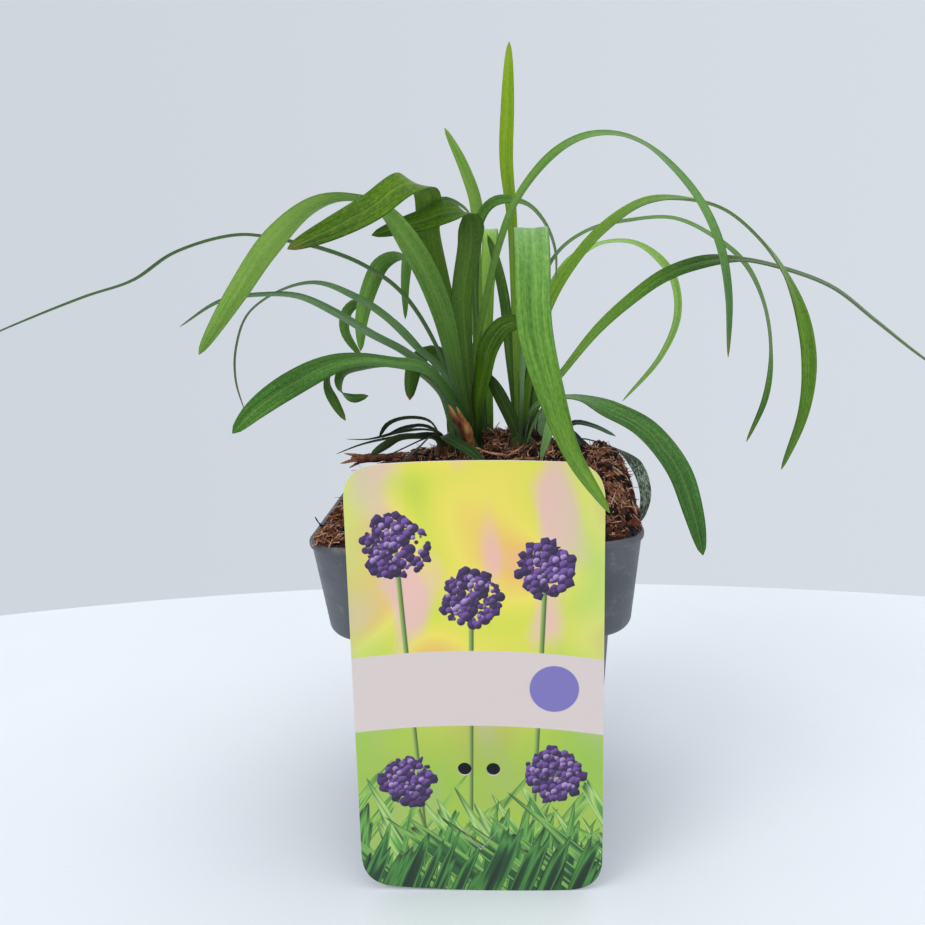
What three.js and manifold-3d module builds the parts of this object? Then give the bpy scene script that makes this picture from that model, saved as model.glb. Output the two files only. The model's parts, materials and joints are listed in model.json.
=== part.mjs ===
// A liriope clump in its square nursery pot, with the label card that leans on the pot.
// Millimetres, +Z up. The origin is the middle of the pot's base, and the pot's front faces -Y.
import * as THREE from "three";
import { mergeVertices } from "three/addons/utils/BufferGeometryUtils.js";
import Module from "manifold-3d";

const wasm = await Module();
wasm.setup();

// ---- driving dimensions ----
const POT_HEIGHT = 98;
const RIM_HALF = 44.5; // half of the rim's outer width
const WALL_TOP_HALF = 43.8; // half of the upper part's width just under the rim
const WALL_TAPER = 0.11; // the half width lost for each millimetre down
const WALL_THICK = 0.9;
const BASE_THICK = 1.5;
const RIM_DEPTH = 2;
const CORNER_TOP = 12; // corner radius of the rim and of the upper part
const SHOULDER = 70; // height of the flat underside where the upper part ends
const SHOULDER_ROUND = 3.5;
const SHOULDER_STEPS = 3;
const BODY_HALF = 36.1; // half of the narrower body's width just under the shoulder
const BODY_TAPER = 0.075;
const CORNER_BODY = 14; // corner radius of that body
const CORNER_STEPS = 7;
const BASE_ROUND = 1; // the base is this much narrower than the wall just above it
const DRAIN_COUNT = 8;
const DRAIN_RADIUS = 4;
const DRAIN_REACH = 17; // from the middle to the four straight holes
const DRAIN_CORNER_REACH = 21; // and to the four in the corners

const FIT_GAP = 0.3;
const SOIL_LIFT = 0.6; // the soil meets the pot this far below the rim's top
const SOIL_SETBACK = 0.3; // soil above the rim stands this far in from the soil below it
const SOIL_RINGS = 11;
const CHIP_COUNT = 38;
const CHIP_MARGIN = 7; // flakes lie this far in from the soil's edge
const CHIP_THICK = 1.8;

const ROOT_LEVEL = 101; // a shoot's foot is sunk to this height
const BLADE_SUNK = 4; // the leaves start this far above the foot's lower end
const FOOT_GAP = 0.5; // clearance of a shoot's foot in its hole in the soil

const BLADE_THICK = 0.8;
const BLADE_CHANNEL = 0.06; // depth of the channel along a blade, as a share of its width
const BLADE_CUTS = 1.7; // straight pieces of a blade for each span between two of its points

const CARD_WIDTH = 65.5;
const CARD_HEIGHT = 120.2;
const CARD_THICK = 0.6;
const CARD_CORNER = 9;
const CARD_BULGE = 1.3; // how far the short edges bow outwards
const CARD_LEAN = 1; // degrees, back onto the rim
const CARD_ROLL = -1.2; // degrees, the card's turn on its own face, its top towards +X
const CARD_RAISE = 0.1; // brings the turned card's lower edge back up to the ground
const CARD_X = -1.6;
const CARD_HOLE_RADIUS = 1.85;
const CARD_HOLE_SPACING = 7.6;
const CARD_HOLE_LEVEL = 36.4;
const SLIT_HALF = 6.8; // half of the slit's width across its two upper ends
const SLIT_HIGH = 20.9;
const SLIT_LOW = 12.5;
const SLIT_OPEN = 0.5;

// ---- colours ----
const fresh = finish("#5b8f35", 0.5);
const deep = finish("#3d6b2b", 0.5);
const dark = finish("#26361f", 0.6);
const slate = finish("#3f444b", 0.55);
const bark = finish("#5a3626", 0.95);
const card = finish("#ddd0cc", 0.4);

function finish(color, roughness) {
  return new THREE.MeshStandardMaterial({ color, roughness, metalness: 0 });
}

// ---- solids ----
function toSolid(geometry) {
  const bare = new THREE.BufferGeometry();
  const source = geometry.index ? geometry.toNonIndexed() : geometry;
  bare.setAttribute("position", source.getAttribute("position"));
  const merged = mergeVertices(bare, 1e-4);
  const triVerts = new Uint32Array(merged.index.array);
  const vertProperties = merged.getAttribute("position").array;
  return new wasm.Manifold(new wasm.Mesh({ numProp: 3, vertProperties, triVerts }));
}

function toGeometry(solid) {
  const mesh = solid.getMesh();
  const geometry = new THREE.BufferGeometry();
  geometry.setAttribute("position", new THREE.BufferAttribute(mesh.vertProperties, 3));
  geometry.setIndex(new THREE.BufferAttribute(mesh.triVerts, 1));
  geometry.computeVertexNormals();
  return geometry;
}

// Joins solids, fills any hollow that the join seals and drops loose scraps.
function fuse(solids) {
  const bodies = wasm.Manifold.union(solids).decompose();
  return bodies.reduce((best, body) => (body.volume() > best.volume() ? body : best));
}

function surface(points, faces) {
  const geometry = new THREE.BufferGeometry();
  geometry.setAttribute("position", new THREE.Float32BufferAttribute(points.flat(), 3));
  geometry.setIndex(faces.flat());
  return geometry;
}

function post(radius, low, high, x, y, sides = 16) {
  const height = high - low;
  const geometry = new THREE.CylinderGeometry(radius, radius, height, sides);
  geometry.rotateX(Math.PI / 2);
  geometry.translate(x, y, low + height / 2);
  return toSolid(geometry);
}

// Seeded random numbers from 0 to 1.
function dice(seed) {
  let state = seed;
  return () => {
    state = (state * 1664525 + 1013904223) % 4294967296;
    return state / 4294967296;
  };
}

// ---- rounded squares ----
// One level of a square with round corners, with the same number of points at every size.
function roundedSquare(half, corner, z) {
  const ring = [];
  for (let quarter = 0; quarter < 4; quarter++) {
    const start = (quarter * Math.PI) / 2;
    const middle = start + Math.PI / 4;
    const reach = (half - corner) * Math.SQRT2;
    for (let step = 0; step <= CORNER_STEPS; step++) {
      const angle = start + (step / CORNER_STEPS) * (Math.PI / 2);
      const x = Math.cos(middle) * reach + Math.cos(angle) * corner;
      const y = Math.sin(middle) * reach + Math.sin(angle) * corner;
      ring.push([x, y, z]);
    }
  }
  return ring;
}

// Closed solid through a stack of rings, lowest first, with a point in the middle of each end.
function stack(rings, lowMiddle, highMiddle) {
  const count = rings[0].length;
  const points = rings.flat();
  const low = points.push(lowMiddle) - 1;
  const high = points.push(highMiddle) - 1;
  const top = (rings.length - 1) * count;
  const faces = [];
  for (let i = 0; i < count; i++) {
    const next = (i + 1) % count;
    faces.push([low, next, i], [high, top + i, top + next]);
    for (let level = 0; level < top; level += count) {
      faces.push([level + i, level + next, level + count + next]);
      faces.push([level + i, level + count + next, level + count + i]);
    }
  }
  return surface(points, faces);
}

// ---- the pot's walls ----
function upperHalf(z) {
  return WALL_TOP_HALF - WALL_TAPER * (POT_HEIGHT - RIM_DEPTH - z);
}

// Each level of a wall is given at a depth into the plastic, 0 for its outer face.
function upperLevel(z, depth) {
  return roundedSquare(upperHalf(z) - depth, CORNER_TOP - depth, z);
}

function bodyLevel(z, depth) {
  const half = BODY_HALF - BODY_TAPER * (SHOULDER - z);
  return roundedSquare(half - depth, CORNER_BODY - depth, z);
}

// The shoulder, from its flat underside out and up to the upper wall.
function shoulderLevels(depth) {
  const top = SHOULDER + SHOULDER_ROUND;
  const reach = upperHalf(top) - SHOULDER_ROUND;
  const bend = SHOULDER_ROUND - depth;
  const levels = [];
  for (let i = 0; i <= SHOULDER_STEPS; i++) {
    const angle = ((i / SHOULDER_STEPS) * Math.PI) / 2;
    const out = bend * Math.sin(angle);
    const z = top - bend * Math.cos(angle);
    levels.push(roundedSquare(reach + out, CORNER_TOP - SHOULDER_ROUND + out, z));
  }
  return levels;
}

// ---- pot ----
function potSolid() {
  const rimLow = POT_HEIGHT - RIM_DEPTH;
  const outside = [
    bodyLevel(0, BASE_ROUND),
    bodyLevel(1.5, 0),
    bodyLevel(SHOULDER, 0),
    ...shoulderLevels(0),
    upperLevel(rimLow, 0),
  ];
  const lip = [
    [RIM_HALF - 0.3, rimLow + 0.2],
    [RIM_HALF, rimLow + 0.7],
    [RIM_HALF, POT_HEIGHT - 0.6],
    [RIM_HALF - 0.5, POT_HEIGHT],
  ];
  for (const [half, z] of lip) outside.push(roundedSquare(half, CORNER_TOP + half - WALL_TOP_HALF, z));
  const inside = [
    bodyLevel(BASE_THICK, WALL_THICK),
    bodyLevel(SHOULDER + WALL_THICK, WALL_THICK),
    ...shoulderLevels(WALL_THICK),
    upperLevel(POT_HEIGHT + 1, WALL_THICK),
  ];
  let pot = toSolid(stack(outside, [0, 0, 0], [0, 0, POT_HEIGHT]));
  pot = pot.subtract(toSolid(stack(inside, [0, 0, BASE_THICK], [0, 0, POT_HEIGHT + 1])));
  for (let i = 0; i < DRAIN_COUNT; i++) {
    const angle = (i / DRAIN_COUNT) * 2 * Math.PI;
    const reach = i % 2 ? DRAIN_CORNER_REACH : DRAIN_REACH;
    const x = Math.cos(angle) * reach;
    const y = Math.sin(angle) * reach;
    pot = pot.subtract(post(DRAIN_RADIUS, -1, BASE_THICK + 1, x, y, 12));
  }
  return pot;
}

// ---- root ball ----
// Each mound of the soil's top is its middle, its height over the rim and its spread.
const MOUNDS = [
  { x: 7, y: 5, height: 17, spread: 28 },
  { x: 38, y: -19, height: 15, spread: 16 },
  { x: -20, y: 34, height: 6, spread: 16 },
  { x: 8, y: 38, height: 3, spread: 18 },
];
const SOIL_EDGE = 0.1; // height over the rim where no mound reaches
// The long sliver of bark, half sunk in the soil, that reaches out over the back left corner.
const SLIVER = { at: [-31, 35, 103.6], length: 35, width: 4, thick: 3.2, turn: -0.03, tilt: 0.02 };

function soilTop(x, y) {
  let z = POT_HEIGHT + SOIL_EDGE;
  for (const mound of MOUNDS) {
    const away = Math.hypot(x - mound.x, y - mound.y) / mound.spread;
    z += mound.height * Math.exp(-(away ** 3));
  }
  const lumps = Math.sin(x * 0.55 + 1.3) * Math.cos(y * 0.47 - 0.8) + 0.6 * Math.sin((x + y) * 0.83);
  return z + 0.7 * lumps;
}

function rootBallSolid(feet) {
  const edge = POT_HEIGHT - SOIL_LIFT;
  const gap = WALL_THICK + FIT_GAP;
  const rings = [
    bodyLevel(BASE_THICK + FIT_GAP, gap),
    bodyLevel(SHOULDER + gap, gap),
    ...shoulderLevels(gap),
    upperLevel(edge, gap),
  ];
  const topHalf = upperHalf(edge) - gap - SOIL_SETBACK;
  for (let i = 0; i < SOIL_RINGS; i++) {
    const share = 1 - i / SOIL_RINGS;
    const ring = roundedSquare(topHalf * share, (CORNER_TOP - gap) * share, 0);
    rings.push(ring.map(([x, y]) => [x, y, Math.max(soilTop(x, y), edge + 0.4)]));
  }
  const low = BASE_THICK + FIT_GAP;
  const parts = [toSolid(stack(rings, [0, 0, low], [0, 0, soilTop(0, 0)]))];
  const roll = dice(11);
  for (let i = 0; i < CHIP_COUNT; i++) {
    const x = (roll() * 2 - 1) * (topHalf - CHIP_MARGIN);
    const y = (roll() * 2 - 1) * (topHalf - CHIP_MARGIN);
    const length = 6 + 7 * roll();
    const at = [x, y, soilTop(x, y) + 0.5];
    const width = 2 + 1.6 * roll();
    const turn = roll() * Math.PI;
    const tilt = (roll() - 0.5) * 0.5;
    parts.push(chip({ at, length, width, thick: CHIP_THICK, turn, tilt }));
  }
  parts.push(chip(SLIVER));
  let ball = fuse(parts);
  for (const foot of feet) {
    const radius = foot.radius + FOOT_GAP;
    ball = ball.subtract(post(radius, ROOT_LEVEL - FOOT_GAP, 130, foot.at[0], foot.at[1]));
  }
  return fuse([ball]);
}

// A flake of bark lying half sunk in the soil.
function chip({ at, length, width, thick, turn, tilt }) {
  const geometry = new THREE.BoxGeometry(length, width, thick);
  const position = geometry.getAttribute("position");
  for (let i = 0; i < position.count; i++) {
    if (position.getX(i) > 0) position.setY(i, position.getY(i) * 0.55);
  }
  geometry.rotateY(tilt);
  geometry.rotateZ(turn);
  geometry.translate(...at);
  return toSolid(geometry);
}

// ---- label card ----
function cardGeometry() {
  const half = CARD_WIDTH / 2;
  const side = CARD_HEIGHT - CARD_BULGE;
  const corner = CARD_CORNER;
  const outline = new THREE.Shape();
  outline.moveTo(-half + corner, CARD_BULGE * 0.5);
  outline.quadraticCurveTo(0, -CARD_BULGE * 0.5, half - corner, CARD_BULGE * 0.5);
  outline.quadraticCurveTo(half, CARD_BULGE, half, CARD_BULGE + corner);
  outline.lineTo(half, side - corner);
  outline.quadraticCurveTo(half, side, half - corner, side + CARD_BULGE * 0.5);
  outline.quadraticCurveTo(0, side + CARD_BULGE * 1.5, -half + corner, side + CARD_BULGE * 0.5);
  outline.quadraticCurveTo(-half, side, -half, side - corner);
  outline.lineTo(-half, CARD_BULGE + corner);
  outline.quadraticCurveTo(-half, CARD_BULGE, -half + corner, CARD_BULGE * 0.5);
  for (const direction of [-1, 1]) {
    const hole = new THREE.Path();
    const x = (direction * CARD_HOLE_SPACING) / 2;
    hole.absarc(x, CARD_HOLE_LEVEL, CARD_HOLE_RADIUS, 0, 2 * Math.PI, true);
    outline.holes.push(hole);
  }
  const slit = new THREE.Path();
  slit.moveTo(-SLIT_HALF, SLIT_HIGH);
  slit.lineTo(0, SLIT_LOW);
  slit.lineTo(SLIT_HALF, SLIT_HIGH);
  slit.lineTo(0, SLIT_LOW + SLIT_OPEN);
  slit.closePath();
  outline.holes.push(slit);
  const options = { depth: CARD_THICK, bevelEnabled: false, curveSegments: 8 };
  return new THREE.ExtrudeGeometry(outline, options);
}

// ---- leaves ----
// A blade's width over its length, narrow at the foot and round at the tip.
function bladeWidth(share) {
  const foot = 0.45 + 0.55 * Math.min(share / 0.5, 1) ** 0.8;
  const tip = Math.max((share - 0.72) / 0.28, 0);
  return foot * Math.sqrt(Math.max(1 - tip * tip, 0.012));
}

// A blade is a width and the points of its middle line. Each point is x, y, z and the turn of the
// blade about that line, in degrees, from lying level across it.
function blade(width, ...points) {
  return { width, points };
}

function bladeSolid({ width, points }, foot) {
  const [firstX, firstY, , firstTurn] = points[0];
  const path = [[...foot, ROOT_LEVEL + BLADE_SUNK, firstTurn], ...points];
  const curve = new THREE.CatmullRomCurve3(path.map(([x, y, z]) => new THREE.Vector3(x, y, z)));
  const lengths = curve.getLengths(path.length * 8);
  const steps = Math.round((path.length - 1) * BLADE_CUTS);
  const [lastX, lastY] = points.at(-1);
  const across = new THREE.Vector3(firstY - lastY, lastX - firstX, 0).normalize();
  const spots = [];
  for (let i = 0; i <= steps; i++) {
    const along = i / steps;
    const share = lengths[Math.round(along * (lengths.length - 1))] / lengths.at(-1);
    const middle = curve.getPoint(along);
    const tangent = curve.getTangent(along);
    const place = along * (path.length - 1);
    const before = Math.min(Math.floor(place), path.length - 2);
    const turn = THREE.MathUtils.lerp(path[before][3], path[before + 1][3], place - before);
    const side = across.clone().addScaledVector(tangent, -across.dot(tangent)).normalize();
    side.applyAxisAngle(tangent, THREE.MathUtils.degToRad(turn));
    const face = new THREE.Vector3().crossVectors(tangent, side);
    const half = (width * bladeWidth(share)) / 2;
    for (const drop of [0, BLADE_THICK]) {
      for (const column of [-1, 0, 1]) {
        const lift = Math.abs(column) * half * 2 * BLADE_CHANNEL - drop;
        const spot = middle.clone().addScaledVector(side, column * half).addScaledVector(face, lift);
        spots.push(spot.toArray());
      }
    }
  }
  return toSolid(surface(spots, bladeFaces(steps)));
}

// Six points a step: three across the top and three under them, split alike on both sides.
function bladeFaces(steps) {
  const faces = [];
  for (let i = 0; i < steps; i++) {
    const a = i * 6;
    const b = a + 6;
    for (const c of [0, 1]) {
      faces.push([a + c, b + c + 1, a + c + 1], [a + c, b + c, b + c + 1]);
      faces.push([a + c + 3, a + c + 4, b + c + 4], [a + c + 3, b + c + 4, b + c + 3]);
    }
    faces.push([a, b + 3, b], [a, a + 3, b + 3]);
    faces.push([a + 2, b + 2, b + 5], [a + 2, b + 5, a + 5]);
  }
  const end = steps * 6;
  faces.push([0, 4, 3], [0, 1, 4], [1, 5, 4], [1, 2, 5]);
  faces.push([end, end + 3, end + 4], [end, end + 4, end + 1]);
  faces.push([end + 1, end + 4, end + 5], [end + 1, end + 5, end + 2]);
  return faces;
}

// The tight sheaths that hold the feet of a shoot's leaves.
function footSolid({ at, radius }) {
  const collar = soilTop(at[0], at[1]);
  const outline = [
    [0, ROOT_LEVEL],
    [radius * 0.9, ROOT_LEVEL],
    [radius, ROOT_LEVEL + 2],
    [radius, collar],
    [radius * 0.75, collar + 2],
    [radius * 0.35, collar + 6],
    [0, collar + 7],
  ];
  const profile = outline.map(([across, up]) => new THREE.Vector2(across, up));
  const geometry = new THREE.LatheGeometry(profile, 12);
  geometry.rotateX(Math.PI / 2);
  geometry.translate(at[0], at[1], 0);
  return toSolid(geometry);
}

const SHOOTS = [
  {
    name: "shoot_front_left",
    material: fresh,
    foot: { at: [-2, -3], radius: 4.4 },
    leaves: [
      blade(7.4, [-3, -4, 117, 25], [-5, -9, 138, 25], [-8, -14, 157, 50], [-14, -19, 172, 35],
        [-22, -21, 183, 0], [-29, -26, 185, 8], [-37, -32, 183, 40], [-46, -38, 175, 70],
        [-55, -42, 163, 75], [-65, -45, 149, 70]),
      blade(7.2, [-2, -1, 117, 78], [-4, 1, 140, 78], [-8, -2, 162, 80], [-10, -8, 176, 75],
        [-10, -14, 186, 15], [-14, -25, 188, -55], [-22, -35, 182, -65], [-30, -47, 177, -65],
        [-38, -56, 173, -55]),
      blade(7, [-1, -4, 117, 105], [-2, -6, 142, 108], [-2, -8, 158, 102], [1, -11, 174, 90],
        [1, -14, 180, 5], [-4, -17, 181, -62], [-12, -20, 178, -68], [-24, -22, 176, -60]),
      blade(2.6, [-3, -1, 117, 60], [-11, 2, 144, 30], [-20, 0, 160, 20], [-30, -1, 168, 10],
        [-41, -2, 173, 5], [-52, -4, 176, 5], [-64, -6, 178, 5], [-82, -8, 174, 5],
        [-94, -10, 167, 0], [-108, -12, 163, 0], [-131, -16, 155, 0], [-146, -18, 149, 0]),
      blade(4.2, [-4, -4, 117, 60], [-10, -10, 136, 42], [-18, -13, 144, 32], [-27, -17, 150, 30],
        [-35, -21, 156, 30], [-44, -24, 161, 20], [-52, -27, 162, 15], [-63, -30, 161, 12],
        [-74, -32, 155, 8]),
      blade(4, [-3, -3, 117, 60], [-8, -4, 136, 40], [-16, -6, 145, 34], [-24, -8, 154, 32],
        [-32, -11, 160, 28], [-41, -13, 164, 18], [-50, -15, 163, 8], [-60, -17, 157, 5],
        [-64, -18, 148, 5], [-65, -18, 139, 5], [-63, -19, 130, 0]),
      blade(7.4, [-3, -5, 117, -60], [-8, -13, 132, -52], [-13, -18, 140, -36],
        [-19, -22, 142, -25], [-27, -28, 144, -26], [-34, -34, 144, -29], [-44, -40, 140, -48],
        [-52, -45, 135, -60], [-57, -50, 130, -55]),
      blade(4.3, [-1, -3, 117, 70], [0, -2, 140, 62], [3, -3, 156, 58], [8, -4, 173, 58],
        [14, -6, 184, 52], [23, -10, 194, 52], [31, -14, 198, 37], [39, -18, 198, 20],
        [46, -21, 195, 8], [53, -26, 188, 14], [59, -30, 179, 16], [63, -32, 169, 19],
        [65, -33, 157, 20], [65, -34, 142, 20]),
      blade(6.8, [0, -4, 117, 60], [1, -7, 129, 50], [3, -9, 137, 62], [5, -10, 145, 78],
        [9, -10, 150, 70], [13, -9, 151, 60], [16, -8, 150, 60]),
      blade(3.4, [-6, -4, 115, 20], [-9, -5, 119, 20], [-8, -9, 119, 20], [-5, -13, 118, 20],
        [-1, -19, 117, 20], [3, -26, 115, 20]),
      blade(4.6, [-1, -6, 116, 65], [-1, -9, 120, 65], [-3, -9, 124, 65], [-6, -8, 129, 65]),
    ],
  },
  {
    name: "shoot_back_left",
    material: fresh,
    foot: { at: [2, 12], radius: 4 },
    leaves: [
      blade(3.8, [2, 11, 117, 80], [2, 10, 145, 80], [4, 11, 171, 80], [2, 11, 183, 80],
        [-1, 10, 194, 75], [-6, 8, 205, 70]),
      blade(3.6, [2, 10, 117, 70], [1, 8, 142, 60], [1, 6, 162, 60], [3, 4, 179, 78],
        [8, 1, 184, 60], [16, 1, 183, 8], [21, 2, 178, 0], [24, 2, 170, 0], [24, 2, 159, 0]),
      blade(5.6, [1, 12, 117, 70], [-5, 15, 135, 60], [-11, 19, 154, 50], [-17, 22, 165, 30],
        [-23, 24, 170, 25], [-29, 26, 168, 45], [-33, 27, 162, 60], [-37, 28, 151, 65],
        [-38, 28, 141, 65]),
      blade(4.6, [1, 14, 117, 70], [1, 17, 141, 60], [1, 20, 165, 50], [0, 23, 180, 35],
        [-3, 26, 184, 30], [-8, 29, 186, 30], [-14, 32, 183, 50], [-20, 34, 176, 70],
        [-23, 35, 164, 75], [-24, 36, 150, 75]),
      blade(4.4, [3, 12, 117, 0], [3, 14, 138, 0], [4, 17, 159, 0], [5, 23, 174, 0],
        [5, 32, 177, 0], [5, 48, 174, 0], [4, 62, 166, 0], [3, 72, 153, 0]),
    ],
  },
  {
    name: "shoot_outer_left",
    material: deep,
    foot: { at: [-8.5, 18], radius: 3.8 },
    leaves: [
      blade(3.8, [-9, 20, 117, 60], [-12, 23, 131, 50], [-19, 27, 142, 42], [-27, 31, 150, 38],
        [-34, 34, 154, 35], [-39, 35, 156, 38], [-43, 35, 153, 50], [-44, 35, 147, 60],
        [-39, 35, 138, 65]),
      blade(4.6, [-9, 16, 117, 60], [-13, 17, 130, 50], [-21, 19, 136, 40], [-31, 21, 138, 30],
        [-41, 23, 138, 20], [-47, 24, 136, 5], [-49, 25, 131, 0], [-47, 25, 125, 50],
        [-44, 25, 119, 60]),
      blade(4.8, [-9, 19, 117, 60], [-13, 24, 127, 50], [-21, 28, 134, 45], [-29, 32, 136, 42],
        [-40, 35, 135, 40], [-47, 37, 132, 20], [-47, 36, 127, -25], [-43, 34, 125, -80],
        [-37, 31, 126, -90]),
      blade(6, [-8, 16, 117, 60], [-8, 14, 131, 60], [-10, 13, 139, 60], [-14, 12, 141, 50],
        [-18, 12, 139, 65], [-20, 12, 133, 85], [-21, 12, 127, 85]),
      blade(5.6, [-8, 19, 117, 0], [-6, 26, 131, 0], [-6, 36, 143, 0], [-6, 50, 149, 0],
        [-6, 66, 146, 0], [-7, 80, 135, 0]),
      blade(5.2, [-9, 20, 117, 0], [-9, 30, 127, 5], [-12, 42, 135, 8], [-15, 58, 137, 10],
        [-20, 74, 131, 10]),
      blade(5, [-9, 20, 113, 0], [-9, 31, 117, 0], [-9, 43, 115, 0], [-10, 55, 108, 0],
        [-11, 64, 97, 0]),
    ],
  },
  {
    name: "shoot_front_right",
    material: fresh,
    foot: { at: [13, -1], radius: 4.4 },
    leaves: [
      blade(4.6, [12, 1, 117, 60], [12, 3, 133, 66], [12, 5, 156, 72], [12, 6, 179, 68],
        [11, 6, 195, 50], [12, 6, 211, 30], [13, 5, 226, 20]),
      blade(8.2, [13, -3, 117, 62], [14, -8, 135, 60], [16, -16, 155, 30], [17, -29, 171, 5],
        [17, -42, 175, 0], [17, -54, 169, 0], [17, -62, 153, -5], [20, -67, 139, -20],
        [24, -71, 127, -30], [32, -73, 114, -35]),
      blade(5.6, [14, 0, 117, 60], [16, -1, 134, 55], [22, -4, 155, 55], [30, -8, 168, 48],
        [38, -12, 176, 42], [47, -16, 181, 28], [57, -20, 181, 6], [66, -22, 178, 0],
        [75, -23, 170, -3], [81, -24, 161, 8], [85, -26, 150, 32], [87, -26, 138, 42],
        [86, -26, 126, 38], [81, -26, 111, 40]),
      blade(5.4, [14, -2, 117, 40], [19, -4, 128, 30], [26, -6, 137, 30], [35, -9, 148, 37],
        [44, -11, 156, 42], [53, -12, 162, 46], [63, -13, 165, 42], [73, -14, 165, 12],
        [84, -16, 162, 8], [95, -18, 157, 6], [106, -19, 148, 5], [118, -21, 138, 5],
        [131, -24, 129, 5]),
      blade(7, [14, -3, 117, 60], [17, -9, 127, 40], [24, -13, 130, 2], [31, -18, 130, 0],
        [37, -25, 128, 28], [45, -32, 124, 60], [52, -39, 115, 68], [55, -44, 105, 70],
        [57, -47, 95, 70]),
      blade(4, [12, -2, 117, 70], [8, -4, 128, 70], [5, -4, 134, 60], [3, -4, 137, 40]),
      blade(4, [12, 2, 117, 90], [11, 4, 132, 90], [10, 5, 145, 90], [9, 6, 157, 90],
        [7, 6, 168, 90], [5, 7, 175, 90]),
    ],
  },
  {
    name: "shoot_back_right",
    material: fresh,
    foot: { at: [15, 14], radius: 4 },
    leaves: [
      blade(3.6, [15, 13, 117, 60], [17, 11, 135, 50], [19, 10, 157, 40], [25, 8, 169, 28],
        [34, 5, 175, 22], [45, 3, 177, 20], [57, 2, 177, 16], [67, 0, 172, 15], [76, -1, 164, 18],
        [81, -3, 153, 10], [83, -4, 140, 14], [82, -4, 127, 48], [77, -4, 114, 60]),
      blade(4, [16, 15, 117, 60], [18, 17, 137, 50], [22, 18, 155, 45], [29, 19, 166, 38],
        [38, 21, 171, 8], [48, 22, 171, 25], [56, 24, 166, 55], [61, 26, 159, 62],
        [62, 26, 148, 65], [57, 26, 136, 60], [45, 26, 122, 60]),
      blade(6.4, [14, 15, 117, 0], [14, 20, 134, 0], [16, 27, 155, 0], [17, 38, 169, 0],
        [18, 50, 173, 0], [19, 64, 170, 0], [19, 78, 158, 0]),
      blade(5.6, [16, 16, 117, 0], [17, 21, 126, 0], [18, 28, 136, 5], [19, 40, 143, 8],
        [20, 54, 141, 10], [20, 70, 131, 10]),
      blade(5, [16, 16, 114, 0], [17, 28, 118, 0], [18, 40, 117, 0], [19, 52, 110, 0],
        [20, 62, 98, 0]),
      blade(4.4, [17, 12, 117, 60], [18, 9, 124, 55], [19, 7, 129, 40], [21, 6, 131, 30]),
    ],
  },
  {
    name: "low_leaves_left",
    material: dark,
    foot: { at: [-11, 4], radius: 2.8 },
    leaves: [
      blade(2.6, [-12, 5, 117, 40], [-15, 8, 121, 35], [-22, 9, 122, 35], [-28, 10, 120, 30],
        [-31, 10, 116, 30]),
      blade(2.4, [-12, 4, 117, 40], [-15, 4, 120, 35], [-22, 4, 120, 30], [-29, 4, 117, 30]),
      blade(2.6, [-12, 5, 117, 40], [-17, 10, 118, 30], [-25, 12, 117, 25], [-34, 13, 115, 20],
        [-42, 14, 115, 20]),
      blade(2.4, [-12, 4, 117, 40], [-20, 2, 118, 30], [-28, 2, 117, 25], [-36, 4, 115, 20],
        [-44, 6, 112, 20]),
      blade(3.4, [-12, 3, 116, 40], [-17, -1, 118, 40], [-23, -2, 118, 50], [-27, -2, 116, 70],
        [-32, -2, 113, 80]),
      blade(2.2, [-11, 3, 117, 40], [-15, -4, 118, 30], [-21, -7, 116, 30], [-29, -10, 113, 20]),
      blade(2.2, [-11, 5, 117, 40], [-17, 12, 119, 30], [-22, 20, 117, 20], [-28, 28, 114, 20]),
      blade(2.2, [-11, 2, 117, 40], [-13, -5, 119, 30], [-16, -11, 117, 25], [-22, -18, 113, 20]),
    ],
  },
  {
    name: "low_leaves_right",
    material: dark,
    foot: { at: [25, 5], radius: 2.5 },
    leaves: [
      blade(2.2, [26, 6, 117, 40], [29, 8, 119, 35], [34, 8, 118, 30], [41, 5, 115, 30]),
      blade(3.4, [26, 4, 114, 30], [31, 3, 115, 0], [36, 1, 114, 0], [40, -4, 113, 10],
        [43, -10, 112, 30], [45, -16, 110, 40], [46, -20, 107, 40], [46, -24, 104, 35],
        [45, -27, 101, 30], [44, -30, 99, 30]),
      blade(2.4, [24, 6, 116, 40], [27, 12, 116, 30], [31, 19, 112, 20], [36, 26, 106, 20]),
      blade(2.4, [25, 4, 117, 40], [27, -2, 118, 30], [29, -8, 117, 20], [32, -15, 114, 20]),
    ],
  },
];

// ---- assembly ----
const group = new THREE.Group();

function place(name, geometry, material) {
  const mesh = new THREE.Mesh(geometry, material);
  mesh.name = name;
  group.add(mesh);
  return mesh;
}

place("pot", toGeometry(potSolid()), slate);
place("root_ball", toGeometry(rootBallSolid(SHOOTS.map((shoot) => shoot.foot))), bark);

for (const { name, material, foot, leaves } of SHOOTS) {
  const parts = [footSolid(foot), ...leaves.map((leaf) => bladeSolid(leaf, foot.at))];
  place(name, toGeometry(fuse(parts)), material);
}

const lean = THREE.MathUtils.degToRad(CARD_LEAN);
const cardMesh = place("label_card", cardGeometry(), card);
const cardFoot = -RIM_HALF - FIT_GAP - (CARD_THICK + POT_HEIGHT * Math.sin(lean)) / Math.cos(lean);
cardMesh.rotation.set(Math.PI / 2 - lean, 0, THREE.MathUtils.degToRad(CARD_ROLL));
cardMesh.position.set(CARD_X, cardFoot + CARD_THICK, CARD_RAISE);

export default group;
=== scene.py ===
# A liriope clump in its square nursery pot, with the label card that leans on the pot.
# Places are given in millimetres, as on a drawing, and become metres through MM.
import json
import math

import bpy
import numpy as np
from mathutils import Matrix, Vector, noise

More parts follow.
